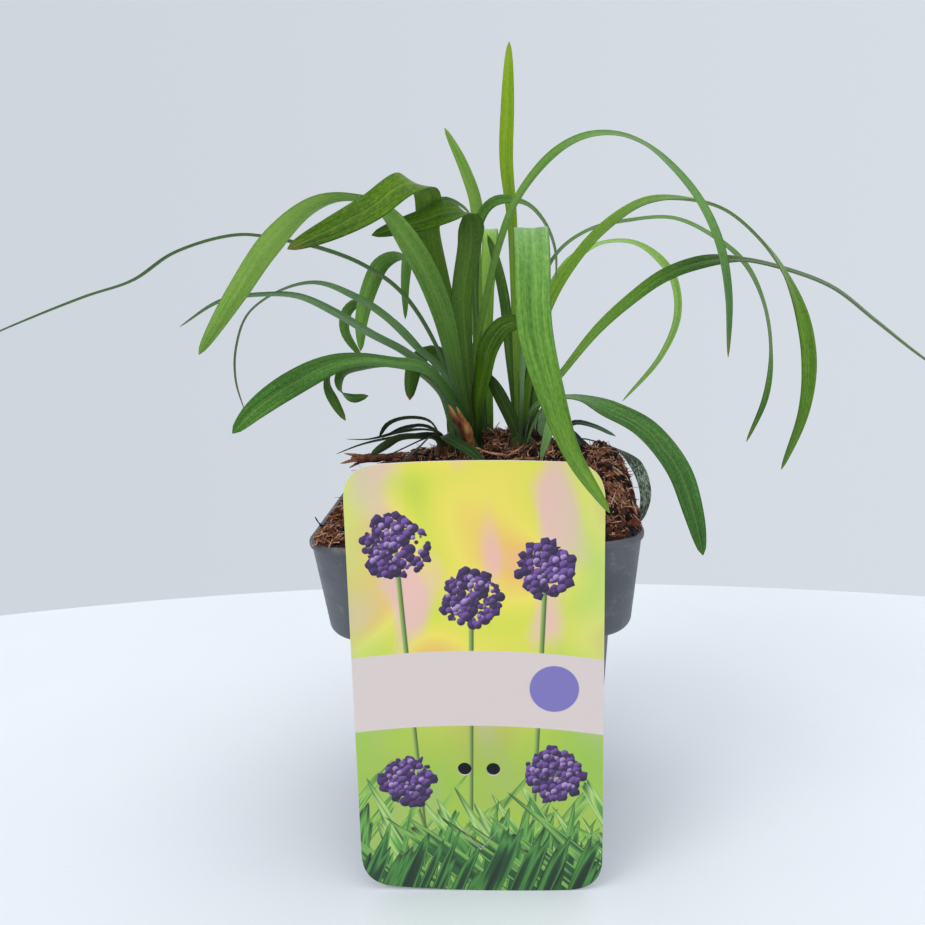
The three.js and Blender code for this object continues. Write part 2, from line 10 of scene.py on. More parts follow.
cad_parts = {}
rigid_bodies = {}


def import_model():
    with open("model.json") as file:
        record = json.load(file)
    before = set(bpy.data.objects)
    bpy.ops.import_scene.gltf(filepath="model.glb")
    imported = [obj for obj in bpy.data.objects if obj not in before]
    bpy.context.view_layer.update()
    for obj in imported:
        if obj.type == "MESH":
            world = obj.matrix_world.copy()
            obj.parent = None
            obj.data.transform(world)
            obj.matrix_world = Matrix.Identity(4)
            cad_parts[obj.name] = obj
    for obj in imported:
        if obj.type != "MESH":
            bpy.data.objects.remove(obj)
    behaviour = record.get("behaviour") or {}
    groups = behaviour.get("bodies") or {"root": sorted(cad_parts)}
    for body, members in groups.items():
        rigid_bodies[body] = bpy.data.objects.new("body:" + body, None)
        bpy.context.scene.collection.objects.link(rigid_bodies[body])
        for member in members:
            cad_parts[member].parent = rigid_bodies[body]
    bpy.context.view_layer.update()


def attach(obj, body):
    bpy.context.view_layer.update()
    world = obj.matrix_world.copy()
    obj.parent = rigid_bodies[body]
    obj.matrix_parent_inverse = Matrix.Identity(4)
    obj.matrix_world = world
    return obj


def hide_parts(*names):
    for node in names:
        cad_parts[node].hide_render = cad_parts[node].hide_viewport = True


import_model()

MM = 0.001
SEED = 11

# ---- sizes ----
POT_HEIGHT = 98
RIM_HALF = 44.5
WALL_TOP_HALF = 43.8  # just under the lip
WALL_TAPER = 0.11  # the half width lost for each millimetre down
WALL_THICK = 0.9
BASE_THICK = 1.5
RIM_DEPTH = 2
CORNER_TOP = 12
SHOULDER = 70  # the level to which the wide upper part comes down
SHOULDER_ROUND = 3.5
BODY_HALF = 36.1  # the narrower body, just under the shoulder
BODY_TAPER = 0.075
CORNER_BODY = 14
DRAIN_RADIUS = 4
DRAIN_REACH = (17, 21)  # to the straight holes, and to those in the corners
DRAIN_COUNT = 8
DRAIN_SIDES = 24
POT_SIDES = 264  # points round one level of the pot

FIT_GAP = 0.3
SOIL_INSET = WALL_THICK + 0.05  # from the wall's outer face to the soil
SOIL_RIM = POT_HEIGHT - 0.6  # the level at which the soil meets the wall
SOIL_EDGE = 0.1  # height over the rim where no mound reaches
SOIL_TONE = 0.16  # from black at 0 to straw at 1
SOIL_SIDES = 232
SOIL_RINGS = 62
# Left and right: the height over the rim that the soil may reach at the wall, and its steepest rise.
BANKS = ((0, 3), (1.5, 4))
LITTER_FRONT = 6  # how far behind the rim's front the loose pieces begin, where the card is
LITTER_LEFT = 3.5  # how far inside the rim's left side they begin
FIBRE_SIDES = 3
# Each mound of the soil's top is its middle, its height over the rim and its spread.
MOUNDS = ((7, 5, 17, 28), (38, -19, 15, 16), (-20, 34, 6, 16), (8, 38, 3, 18))

ROOT_LEVEL = 101  # the height to which a shoot's foot is sunk
BLADE_SUNK = 4  # the blades start this far above it
BLADE_STEP = 1.5  # between two sections of a blade
BLADE_SIDES = 20
FOOT_SIDES = 48

CARD_WIDTH = 65.5
CARD_HEIGHT = 120.2
CARD_THICK = 0.6
CARD_CORNER = 9
CARD_BULGE = 1.3
CARD_LEAN = math.radians(1)
CARD_ROLL = math.radians(-1.2)
CARD_RAISE = 0.1
CARD_X = -1.6
CARD_HOLE_RADIUS = 1.85
CARD_HOLE_SPACING = 7.6
CARD_HOLE_LEVEL = 36.4
CARD_HOLE_SIDES = 36
CARD_EDGE = 0.06  # how far the card's edges are rounded
PRINT_UNIT = 100  # one unit of the print's map is this many millimetres
SLIT = ((-6.8, 20.9), (0, 12.5), (6.8, 20.9), (0, 13.0))  # the thin V cut through the card


def colour(code):
    """A linear colour from the usual six-figure code."""
    parts = [int(code[i:i + 2], 16) / 255 for i in (1, 3, 5)]
    linear = [c / 12.92 if c <= 0.04045 else ((c + 0.055) / 1.055) ** 2.4 for c in parts]
    return (*linear, 1.0)


def circle(x, y, radius, sides):
    """Points round a circle."""
    turns = [2 * math.pi * i / sides for i in range(sides)]
    return [(x + radius * math.cos(turn), y + radius * math.sin(turn)) for turn in turns]


# ---- camera, table and light ----
CAMERA_PLACE = (14.84, -267.46, 170.58)
CAMERA_DIP = math.radians(12.81)
CAMERA_HEADING = math.radians(-4.2)
CAMERA_ROLL = math.radians(-2.69)
CAMERA_SENSOR = 36
CAMERA_LENS = 36
CAMERA_NEAREST = 0.01
TABLE_RADIUS = 880
TABLE_MIDDLE = (-25, -688)
TABLE_SIDES = 256
LAMP_AIM = (0, 0, 0.12)
# Each lamp is its name, its place in metres, its power, its width and its tint.
LAMPS = (
    ("window", (-1.9, -1.9, 2.6), 34, 2.2, (1.0, 0.99, 0.96)),
    ("ceiling", (0.7, -0.3, 2.8), 36, 3.4, (0.98, 0.99, 1.0)),
)
ROOM_LIGHT = 0.8


def make_camera():
    """The camera, from its place, its heading, its dip and its roll."""
    data = bpy.data.cameras.new("camera")
    data.sensor_width = CAMERA_SENSOR
    data.lens = CAMERA_LENS
    data.clip_start = CAMERA_NEAREST
    heading, dip = CAMERA_HEADING, CAMERA_DIP
    ahead = Vector((math.sin(heading) * math.cos(dip), math.cos(heading) * math.cos(dip), -math.sin(dip)))
    level = Vector((math.cos(heading), -math.sin(heading), 0))
    upright = level.cross(ahead)
    right = level * math.cos(CAMERA_ROLL) + upright * math.sin(CAMERA_ROLL)
    top = upright * math.cos(CAMERA_ROLL) - level * math.sin(CAMERA_ROLL)
    camera = bpy.data.objects.new("camera", data)
    turn = Matrix((right, top, -ahead)).transposed().to_4x4()
    camera.matrix_world = Matrix.Translation(Vector(CAMERA_PLACE) * MM) @ turn
    bpy.context.collection.objects.link(camera)
    bpy.context.scene.camera = camera


def add_lamp(name, place, energy, size, shine):
    data = bpy.data.lights.new(name, "AREA")
    data.shape = "DISK"
    data.size = size
    data.energy = energy
    data.color = shine
    lamp = bpy.data.objects.new(name, data)
    lamp.location = place
    aim = Vector(LAMP_AIM) - Vector(place)
    lamp.rotation_euler = aim.to_track_quat("-Z", "Y").to_euler()
    bpy.context.collection.objects.link(lamp)


def make_light():
    """Two soft lamps in a pale room, whose wall is a little lighter on one side."""
    for lamp in LAMPS:
        add_lamp(*lamp)
    world = bpy.data.worlds.new("studio")
    bpy.context.scene.world = world
    world.use_nodes = True
    tree = world.node_tree
    tree.nodes.clear()
    heading = parts_of(tree, tree.nodes.new("ShaderNodeTexCoord").outputs["Generated"])[0]
    # Painted light: the backdrop seen behind the table is a little brighter towards one side.
    wall = tint(tree, step(tree, heading, -0.5, 0.5), colour("#cfd6de"), colour("#d7dde4"))
    seen = put(tree, "ShaderNodeBackground", {"Color": wall, "Strength": 1.0})
    lit = put(tree, "ShaderNodeBackground", {"Color": colour("#eceff5"), "Strength": ROOM_LIGHT})
    path = tree.nodes.new("ShaderNodeLightPath")
    choice = put(tree, "ShaderNodeMixShader", {0: path.outputs["Is Camera Ray"], 1: lit.outputs[0],
                                               2: seen.outputs[0]})
    put(tree, "ShaderNodeOutputWorld", {"Surface": choice.outputs[0]})
    bpy.context.scene.view_settings.view_transform = "Standard"


def make_table():
    ring = [(*spot, 0) for spot in circle(*TABLE_MIDDLE, TABLE_RADIUS, TABLE_SIDES)]
    table = make_mesh("table", ring, [tuple(range(TABLE_SIDES))], table_white())


# ---- node trees ----
FLOAT, WHOLE = "NodeSocketFloat", "NodeSocketInt"
COLOUR, VECTOR = "NodeSocketColor", "NodeSocketVector"
GEOMETRY, MATERIAL = "NodeSocketGeometry", "NodeSocketMaterial"


def put(tree, kind, inputs=None, **settings):
    """Adds a node. An input is a value, or another node's output to join to it."""
    node = tree.nodes.new(kind)
    for name, value in settings.items():
        setattr(node, name, value)
    for key, value in (inputs or {}).items():
        if isinstance(value, bpy.types.NodeSocket):
            tree.links.new(value, node.inputs[key])
        else:
            node.inputs[key].default_value = value
    return node


def maths(tree, operation, *values, clamp=False):
    node = put(tree, "ShaderNodeMath", dict(enumerate(values)), operation=operation, use_clamp=clamp)
    return node.outputs[0]


def plus(tree, first, second, clamp=False):
    return maths(tree, "ADD", first, second, clamp=clamp)


def minus(tree, first, second, clamp=False):
    return maths(tree, "SUBTRACT", first, second, clamp=clamp)


def times(tree, first, second, clamp=False):
    return maths(tree, "MULTIPLY", first, second, clamp=clamp)


def scaled(tree, value, factor, offset):
    return maths(tree, "MULTIPLY_ADD", value, factor, offset)


def vectors(tree, operation, *values):
    node = put(tree, "ShaderNodeVectorMath", dict(enumerate(values)), operation=operation)
    return node.outputs[0]


def step(tree, value, low, high, first=0.0, last=1.0):
    """Eases from first to last as the value goes from low to high."""
    node = put(tree, "ShaderNodeMapRange", {0: value, 1: low, 2: high, 3: first, 4: last},
               interpolation_type="SMOOTHSTEP")
    return node.outputs[0]


def tint(tree, share, first, last):
    """A colour that goes from first to last as the share goes from 0 to 1."""
    return put(tree, "ShaderNodeMix", {0: share, 6: first, 7: last}, data_type="RGBA").outputs[2]


def ramp(tree, value, *stops):
    """A colour ramp of (place, colour code) stops. Codes alone are spaced evenly from 0 to 1."""
    if isinstance(stops[0], str):
        stops = [(i / (len(stops) - 1), code) for i, code in enumerate(stops)]
    node = put(tree, "ShaderNodeValToRGB", {0: value})
    band = node.color_ramp
    while len(band.elements) < len(stops):
        band.elements.new(0.5)
    for element, (place, code) in zip(band.elements, stops):
        element.position = place
        element.color = colour(code)
    return node.outputs[0]


def clouds(tree, place, scale, detail=3.0, roughness=0.55, distortion=0.0):
    """Soft noise from 0 to 1."""
    node = put(tree, "ShaderNodeTexNoise", {"Vector": place, "Scale": scale, "Detail": detail,
                                            "Roughness": roughness, "Distortion": distortion})
    return node.outputs[0]


def stretched(tree, place, scale):
    """The place with each axis scaled, so that a pattern on it runs long along the small ones."""
    return vectors(tree, "MULTIPLY", place, scale)


def parts_of(tree, vector):
    """The x, y and z of a vector."""
    return put(tree, "ShaderNodeSeparateXYZ", {0: vector}).outputs


def joined(tree, x, y, z):
    return put(tree, "ShaderNodeCombineXYZ", {0: x, 1: y, 2: z}).outputs[0]


def length_of(tree, vector):
    return put(tree, "ShaderNodeVectorMath", {0: vector}, operation="LENGTH").outputs["Value"]


def new_group(name, inputs, outputs, kind="ShaderNodeTree"):
    """A node group with named inputs and outputs. Each input is a name, a socket type and a value."""
    tree = bpy.data.node_groups.new(name, kind)
    for label, socket, value in inputs:
        made = tree.interface.new_socket(label, in_out="INPUT", socket_type=socket)
        if value is not None:
            made.default_value = value
    for label, socket in outputs:
        tree.interface.new_socket(label, in_out="OUTPUT", socket_type=socket)
    return tree, tree.nodes.new("NodeGroupInput").outputs, tree.nodes.new("NodeGroupOutput").inputs


def new_material(name, **fixed):
    """A material whose Principled shader has its fixed sockets set by name."""
    material = bpy.data.materials.new(name)
    material.use_nodes = True
    for label, value in fixed.items():
        material.node_tree.nodes["Principled BSDF"].inputs[label.replace("_", " ")].default_value = value
    return material, material.node_tree


def object_place(tree):
    """The place on the piece itself, in metres."""
    return tree.nodes.new("ShaderNodeTexCoord").outputs["Object"]


def attribute(tree, name):
    return put(tree, "ShaderNodeAttribute", attribute_name=name).outputs["Fac"]


def use_group(tree, group, **inputs):
    """The outputs of a group placed in the tree, with its inputs set or joined by name."""
    node = tree.nodes.new("ShaderNodeGroup")
    node.node_tree = group
    for label, value in inputs.items():
        socket = node.inputs[label.replace("_", " ")]
        if isinstance(value, bpy.types.NodeSocket):
            tree.links.new(value, socket)
        else:
            socket.default_value = value
    return node.outputs


def finish_material(material, base, rough, height, strength, distance):
    """Joins the colour, the roughness and a bump to the material's shader."""
    tree = material.node_tree
    shader = tree.nodes["Principled BSDF"]
    tree.links.new(base, shader.inputs["Base Color"])
    tree.links.new(rough, shader.inputs["Roughness"])
    bump = put(tree, "ShaderNodeBump", {"Strength": strength, "Distance": distance, "Height": height})
    tree.links.new(bump.outputs[0], shader.inputs["Normal"])
    return material


# ---- shared shader groups ----
def grain_group():
    """Fine even grain with a coarser cloud under it."""
    tree, given, result = new_group(
        "fine grain",
        [("Place", VECTOR, None), ("Fine", FLOAT, 1500.0), ("Coarse", FLOAT, 90.0)],
        [("Grain", FLOAT), ("Cloud", FLOAT)])
    tree.links.new(clouds(tree, given["Place"], given["Fine"], 2.0), result["Grain"])
    tree.links.new(clouds(tree, given["Place"], given["Coarse"], 4.0), result["Cloud"])
    return tree


def leaf_place(tree, given, across, along):
    """A place on a leaf's own face, with each way scaled, which differs from leaf to leaf."""
    return joined(tree, times(tree, given["Across"], across), times(tree, given["Along"], along),
                  given["Seed"])


def leaf_group():
    """A strap leaf's face: long veins, a midrib, mottling, a pale underside, a dry tip, painted shade at
    its edges and foot.
    """
    tree, given, result = new_group(
        "strap leaf",
        [("Place", VECTOR, None), ("Across", FLOAT, 0.0), ("Along", FLOAT, 0.0), ("Tone", FLOAT, 0.5),
         ("Under", FLOAT, 0.0), ("Mottle", FLOAT, 0.0), ("Dry", FLOAT, 0.0), ("Veins", FLOAT, 9.0),
         ("Shade", FLOAT, 0.0), ("Warmth", FLOAT, 1.0), ("Coldness", FLOAT, 0.0), ("Seed", FLOAT, 0.0),
         ("Fleck", COLOUR, colour("#a9b544"))],
        [("Colour", COLOUR), ("Roughness", FLOAT), ("Height", FLOAT)])
    across, along = given["Across"], given["Along"]
    drift = clouds(tree, given["Place"], 38.0, 3.0)
    lane = times(tree, across, given["Veins"])
    wander = joined(tree, lane, times(tree, along, 5.0), given["Seed"])
    strand = clouds(tree, wander, 1.2, 3.0, 0.6)
    bent = plus(tree, lane, times(tree, strand, 1.4))
    vein = maths(tree, "SINE", times(tree, bent, 6.28))
    vein = scaled(tree, vein, 0.5, 0.5)
    broad = clouds(tree, leaf_place(tree, given, 1.3, 2.2), 1.5, 2.0)
    cells = clouds(tree, leaf_place(tree, given, 3.0, 55.0), 2.2, 2.0, 0.6)
    relief = plus(tree, times(tree, vein, 0.1), times(tree, strand, 1.2))

    tone = plus(tree, given["Tone"], given["Shade"])
    for cause, amount, offset in ((drift, 0.36, -0.18), (broad, 0.5, -0.25), (relief, 0.3, -0.2),
                                  (cells, 0.36, -0.18)):
        tone = plus(tree, tone, scaled(tree, cause, amount, offset))
    # Painted shade: the tone drops towards each blade's foot, where the blades crowd together in the
    # clump's middle.
    foot = step(tree, along, 0.0, 0.5, -0.24, 0.0)
    tone = plus(tree, tone, foot, clamp=True)
    cool = ramp(tree, tone, "#0e190a", "#213d16", "#3f6d26", "#6a9c42", "#93c062")
    warm = ramp(tree, tone, "#111a04", "#294406", "#4a710f", "#70981c", "#94b828")
    cold = ramp(tree, tone, "#0c130e", "#233629", "#476650", "#709477", "#9fbda3")
    warmth = times(tree, given["Mottle"], given["Warmth"], clamp=True)
    base = tint(tree, warmth, cool, warm)
    coldness = maths(tree, "MAXIMUM", given["Coldness"], times(tree, given["Mottle"], -1.0))
    base = tint(tree, coldness, base, cold)

    rib = maths(tree, "ABSOLUTE", across)
    midrib = step(tree, rib, 0.02, 0.12, 1.0, 0.0)
    base = tint(tree, times(tree, midrib, 0.16), base, colour("#8fb25c"))
    # Painted shade: a dark band along the blade's edges, where they curl away from the light.
    margin = step(tree, rib, 0.86, 1.0)
    base = tint(tree, times(tree, margin, 0.42), base, colour("#1d3310"))

    spread = times(tree, minus(tree, given["Mottle"], 1.2, clamp=True), 0.18)
    blotch = plus(tree, clouds(tree, leaf_place(tree, given, 3.4, 26.0), 1.9, 4.0, 0.62), spread)
    blotch = times(tree, step(tree, blotch, 0.5, 0.66), step(tree, given["Mottle"], 1.0, 1.4))
    base = tint(tree, times(tree, blotch, 0.75), base, given["Fleck"])
    speck = clouds(tree, given["Place"], 900.0, 2.0)
    speck = step(tree, speck, 0.6, 0.75, 0.0, 0.06)
    base = tint(tree, speck, base, colour("#b6cd80"))

    pale = times(tree, given["Under"], 0.18)
    base = tint(tree, pale, base, colour("#86a860"))
    tip = step(tree, along, 0.955, 0.995)
    tip = times(tree, tip, given["Dry"])
    base = tint(tree, tip, base, colour("#94703a"))
    tree.links.new(base, result["Colour"])

    rough = scaled(tree, given["Under"], 0.1, 0.36)
    rough = plus(tree, rough, times(tree, strand, 0.16))
    tree.links.new(rough, result["Roughness"])
    groove = times(tree, midrib, -0.5)
    tree.links.new(plus(tree, relief, groove), result["Height"])
    return tree


def earth_group():
    """Coir and bark, from nearly black to straw, by a tone from 0 to 1."""
    tree, given, result = new_group(
        "coir and bark",
        [("Place", VECTOR, None), ("Tone", FLOAT, 0.5), ("Scale", FLOAT, 420.0)],
        [("Colour", COLOUR), ("Height", FLOAT)])
    lumps = clouds(tree, given["Place"], given["Scale"], 5.0, 0.65)
    patches = clouds(tree, given["Place"], 70.0, 3.0)
    # The same lumps raise the bump and the tone, so the hollows are darker and the tops paler: painted
    # shade in the hollows, over the mix's own mottled tone.
    tone = plus(tree, given["Tone"], scaled(tree, lumps, 0.7, -0.35))
    tone = plus(tree, tone, scaled(tree, patches, 0.4, -0.2), clamp=True)
    base = ramp(tree, tone, (0.0, "#140a08"), (0.3, "#351a12"), (0.55, "#673826"), (0.8, "#a36f52"),
                (1.0, "#d9b196"))
    tree.links.new(base, result["Colour"])
    tree.links.new(lumps, result["Height"])
    return tree


GRAIN = grain_group()
LEAF = leaf_group()
EARTH = earth_group()


# ---- materials ----
def fine_grain(tree, fine, coarse):
    return use_group(tree, GRAIN, Place=object_place(tree), Fine=fine, Coarse=coarse)


def leaf_material(name, fleck, veins, warmth, coldness, shade, dullness):
    """A leaf's look: its flecks' colour, how many veins lie side by side, how warm or cold its greens can
    turn, and what is added to its tone and its roughness."""
    material, tree = new_material(name, IOR=1.42, Specular_IOR_Level=0.15, Sheen_Weight=0.2,
                                  Sheen_Roughness=0.35)
    marks = {label: attribute(tree, label.lower())
             for label in ("Across", "Along", "Tone", "Under", "Mottle", "Dry", "Seed")}
    leaf = use_group(tree, LEAF, Place=object_place(tree), Veins=veins, Shade=shade, Warmth=warmth,
                     Coldness=coldness, Fleck=colour(fleck), **marks)
    rough = plus(tree, leaf["Roughness"], dullness)
    return finish_material(material, leaf["Colour"], rough, leaf["Height"], 0.25, 0.0004)


def husk_material():
    """The papery, streaked husk at the foot of a shoot, dark along one edge and pale at its tip."""
    material, tree = new_material("dry_husk", IOR=1.4)
    place = object_place(tree)
    streaks = clouds(tree, stretched(tree, place, (1.0, 1.0, 0.12)), 900.0, 4.0, 0.6)
    grain = fine_grain(tree, 1400.0, 160.0)
    tone = plus(tree, times(tree, streaks, 0.75), times(tree, grain["Cloud"], 0.4))
    edge = step(tree, attribute(tree, "across"), -0.9, 0.1, 0.3, 0.0)
    tip = step(tree, attribute(tree, "along"), 0.8, 1.0, 0.0, 0.25)
    tone = plus(tree, minus(tree, tone, edge), tip)
    base = ramp(tree, tone, (0.2, "#2f140c"), (0.42, "#6f3a1c"), (0.6, "#a9713c"), (0.9, "#dcbc92"))
    rough = scaled(tree, grain["Grain"], 0.2, 0.55)
    return finish_material(material, base, rough, streaks, 0.5, 0.0005)


def foot_material():
    """The tight green and brown feet of the shoots."""
    material, tree = new_material("shoot_foot", IOR=1.4)
    place = object_place(tree)
    streaks = clouds(tree, stretched(tree, place, (1.0, 1.0, 0.1)), 1100.0, 4.0, 0.6)
    height = parts_of(tree, place)[2]
    base = ramp(tree, streaks, (0.3, "#16240a"), (0.5, "#2c4413"), (0.7, "#4c6a22"))
    husk = ramp(tree, streaks, (0.3, "#2c140c"), (0.5, "#562c1b"), (0.7, "#8a5534"))
    low = step(tree, height, 0.112, 0.118, 1.0, 0.0)
    rough = scaled(tree, streaks, 0.2, 0.55)
    return finish_material(material, tint(tree, low, base, husk), rough, streaks, 0.6, 0.0006)


def pot_material():
    """Dark slate moulded plastic with dust and a little smeared earth under the rim."""
    material, tree = new_material("slate_plastic", IOR=1.46)
    place = object_place(tree)
    grain = fine_grain(tree, 1800.0, 45.0)
    height = parts_of(tree, place)[2]
    base = ramp(tree, grain["Cloud"], (0.3, "#4b4f55"), (0.7, "#5a5e65"))
    dust = clouds(tree, place, 230.0, 5.0, 0.7)
    dust = times(tree, step(tree, dust, 0.52, 0.75), step(tree, height, 0.05, 0.096, 0.1, 0.5))
    base = tint(tree, dust, base, colour("#8b8a88"))
    smear = clouds(tree, stretched(tree, place, (1.0, 1.0, 0.5)), 120.0, 5.0, 0.7)
    smear = times(tree, step(tree, smear, 0.58, 0.7), step(tree, height, 0.088, 0.0975, 0.0, 0.55))
    base = tint(tree, smear, base, colour("#5c3f2d"))
    scuffs = clouds(tree, stretched(tree, place, (0.4, 0.4, 2.5)), 300.0, 3.0)
    rough = scaled(tree, scuffs, 0.25, 0.36)
    relief = plus(tree, grain["Grain"], times(tree, grain["Cloud"], 2.0))
    return finish_material(material, base, rough, relief, 0.12, 0.0003)


def earth_material(name, scale, lift, bump):
    """Potting mix or bark. Every piece brings its own tone, and lift is added to it."""
    material, tree = new_material(name, IOR=1.35)
    tone = plus(tree, attribute(tree, "tone"), lift)
    earth = use_group(tree, EARTH, Place=object_place(tree), Tone=tone, Scale=scale)
    rough = scaled(tree, earth["Height"], 0.2, 0.72)
    return finish_material(material, earth["Colour"], rough, earth["Height"], bump, 0.0008)


def table_white():
    """The matt white table, with a few faint specks."""
    material, tree = new_material("table_white", IOR=1.3)
    grain = fine_grain(tree, 260.0, 9.0)
    base = ramp(tree, grain["Cloud"], (0.2, "#e0e6ec"), (0.8, "#e6ebf0"))
    specks = step(tree, grain["Grain"], 0.74, 0.8, 0.0, 0.25)
    base = tint(tree, specks, base, colour("#b9b4ac"))
    rough = scaled(tree, grain["Grain"], 0.1, 0.6)
    return finish_material(material, base, rough, grain["Grain"], 0.04, 0.0005)


def card_back_material():
    """The plain white board of the card's back and edges."""
    material, tree = new_material("card_white", IOR=1.45)
    grain = fine_grain(tree, 2500.0, 60.0)
    base = ramp(tree, grain["Cloud"], (0.2, "#e4e2dc"), (0.8, "#efede8"))
    rough = scaled(tree, grain["Grain"], 0.1, 0.4)
    return finish_material(material, base, rough, grain["Grain"], 0.05, 0.0002)


# ---- the printed card's design ----
BAND_LOW, BAND_HIGH = 49.0, 70.0
BAND_DISC = (20.0, 59.5, 6.4)  # the middle and the radius
PRINT_SOFT = 0.15  # half of the width over which an edge of the print fades
# Round flower heads: the middle, the radius and the foot of the stem.
HEADS = (
    (-20.0, 98.0, 9.0, -14.0),
    (-1.0, 84.0, 8.0, -3.0),
    (18.0, 92.0, 7.5, 13.0),
    (-19.0, 33.0, 7.5, -10.0),
    (20.0, 35.0, 8.0, 12.0),
)
BEAD = 2.1  # from one bead of a flower head to the next
# Layers of beads, from the back: how far they are moved, their size, and their dark and light side.
BEADS = (
    (0.0, 0.75, "#1f0f33", "#4a2a70"),
    (0.9, 0.6, "#29143f", "#7c55a6"),
    (1.9, 0.46, "#341b55", "#bb9bd8"),
)
# Layers of grass, from the back: the slant, the size, how high it grows, and three greens.
GRASS = (
    (0.62, 0.3, 60.0, "#3c7a30", "#9cc95c", "#5c9a3c"),
    (-0.5, 0.26, 54.0, "#2c6a2e", "#b4d87a", "#5f9f44"),
    (0.2, 0.3, 50.0, "#174522", "#6fae4c", "#2f6f30"),
    (-0.85, 0.24, 40.0, "#143c1e", "#86bb58", "#2a6430"),
    (0.4, 0.28, 34.0, "#0d2814", "#4c8f3e", "#1c4a24"),
)


def print_material():
    """A soft garden blur with round violet flower heads over grass, and a plain blush band."""
    material, tree = new_material("card_print", IOR=1.48, Coat_Weight=0.15, Coat_Roughness=0.25)
    uv = put(tree, "ShaderNodeUVMap", uv_map="print").outputs[0]
    place = stretched(tree, uv, (PRINT_UNIT, PRINT_UNIT, 0.0))
    x, y, _ = parts_of(tree, place)
    base = garden_blur(tree, place, x, y)
    for middle_x, middle_y, _, stem_foot in HEADS:
        base = stem(tree, x, y, base, middle_x, middle_y, stem_foot)
    base = grass(tree, place, y, base)
    base = flower_heads(tree, place, base)
    base = blush_band(tree, x, y, base)
    grain = fine_grain(tree, 2500.0, 40.0)
    rough = scaled(tree, grain["Cloud"], 0.12, 0.3)
    return finish_material(material, base, rough, grain["Cloud"], 0.03, 0.0005)


def garden_blur(tree, place, x, y):
    """Soft greens and yellows with patches of rose, greener at the sides and low down."""
    warm = clouds(tree, place, 0.03, 1.0, 0.3, 0.4)
    base = ramp(tree, warm, (0.3, "#a9cf3e"), (0.42, "#dce04a"), (0.5, "#f2e35c"), (0.58, "#f4c468"),
                (0.68, "#f0b6a6"))
    rose = clouds(tree, stretched(tree, place, (1.6, 0.7, 1.0)), 0.042, 1.0, 0.3)
    base = tint(tree, step(tree, rose, 0.5, 0.66, 0.0, 0.85), base, colour("#efbcc0"))
    side = step(tree, maths(tree, "ABSOLUTE", x), 16.0, 34.0, 0.0, 0.5)
    base = tint(tree, side, base, colour("#b4da84"))
    low = step(tree, y, 34.0, 78.0, 0.85, 0.0)
    return tint(tree, low, base, colour("#93bf45"))


def grass(tree, place, y, base):
    """Crossing blades of grass that thicken towards the card's lower edge."""
    for turn, size, height, dark, light, middle in GRASS:
        slant = put(tree, "ShaderNodeVectorRotate", {"Vector": place, "Angle": turn},
                    rotation_type="Z_AXIS").outputs[0]
        lanes = clouds(tree, stretched(tree, slant, (1.0, 0.06, 1.0)), size, 1.0, 0.5, 0.1)
        fine = clouds(tree, stretched(tree, slant, (1.0, 0.03, 1.0)), size * 4, 1.0, 0.5)
        fringe = step(tree, y, height * 0.1, height, 0.56, 0.2)
        edge = minus(tree, fringe, lanes)
        shape = step(tree, edge, -0.008, 0.006)
        depth = scaled(tree, edge, 4.5, scaled(tree, fine, 0.9, -0.4))
        inner = ramp(tree, depth, (0.0, dark), (0.3, light), (0.55, middle), (1.0, dark))
        base = tint(tree, shape, base, inner)
    return base


def stem(tree, x, y, base, middle_x, middle_y, stem_foot):
    """A thin stem that leans from its flower head to its foot."""
    lean = (middle_x - stem_foot) / middle_y
    off = minus(tree, x, scaled(tree, y, lean, stem_foot))
    shape = step(tree, maths(tree, "ABSOLUTE", off), 0.5, 0.8, 1.0, 0.0)
    shape = times(tree, shape, maths(tree, "LESS_THAN", y, middle_y))
    lit = step(tree, off, -0.6, 0.5)
    return tint(tree, shape, base, tint(tree, lit, colour("#9dbb5c"), colour("#4c6d2e")))


def flower_heads(tree, place, base):
    """Round heads packed with small violet beads. A bead whose middle is in a head is drawn whole."""
    for shift, size, dark, light in BEADS:
        offset = (shift * BEAD, shift * BEAD * 0.7, 0.0)
        moved = vectors(tree, "ADD", place, offset)
        beads = put(tree, "ShaderNodeTexVoronoi", {"Vector": moved, "Scale": 1 / BEAD, "Randomness": 0.8})
        middle = vectors(tree, "SUBTRACT", beads.outputs["Position"], offset)
        covered = None
        for middle_x, middle_y, radius, _ in HEADS:
            spot = vectors(tree, "SUBTRACT", middle, (middle_x, middle_y, 0.0))
            inside = maths(tree, "LESS_THAN", length_of(tree, spot), radius - shift)
            covered = inside if covered is None else maths(tree, "MAXIMUM", covered, inside)
        round_bead = step(tree, beads.outputs["Distance"], size - 0.06, size, 1.0, 0.0)
        off_x, off_y, _ = parts_of(tree, vectors(tree, "SUBTRACT", place, middle))
        lit = minus(tree, times(tree, off_y, 0.5), times(tree, off_x, 0.35))
        hue = scaled(tree, parts_of(tree, beads.outputs["Color"])[0], 0.3, -0.15)
        lit = plus(tree, lit, hue)
        violet = tint(tree, step(tree, lit, -0.4, 0.5), colour(dark), colour(light))
        base = tint(tree, times(tree, covered, round_bead), base, violet)
    return base


def blush_band(tree, x, y, base):
    """A plain band that bows across the card, with a plain disc on it."""
    middle = (BAND_LOW + BAND_HIGH) / 2
    half = (BAND_HIGH - BAND_LOW) / 2
    bow = times(tree, times(tree, x, x), 0.0022)
    off = maths(tree, "ABSOLUTE", minus(tree, plus(tree, y, bow), middle))
    band = step(tree, off, half - PRINT_SOFT, half + PRINT_SOFT, 1.0, 0.0)
    base = tint(tree, band, base, colour("#ddcfcb"))
    disc_x, disc_y, disc_radius = BAND_DISC
    spot = joined(tree, minus(tree, x, disc_x), minus(tree, y, disc_y), 0.0)
    disc = step(tree, length_of(tree, spot), disc_radius - PRINT_SOFT, disc_radius + PRINT_SOFT, 1.0, 0.0)
    return tint(tree, disc, base, colour("#7d74bb"))


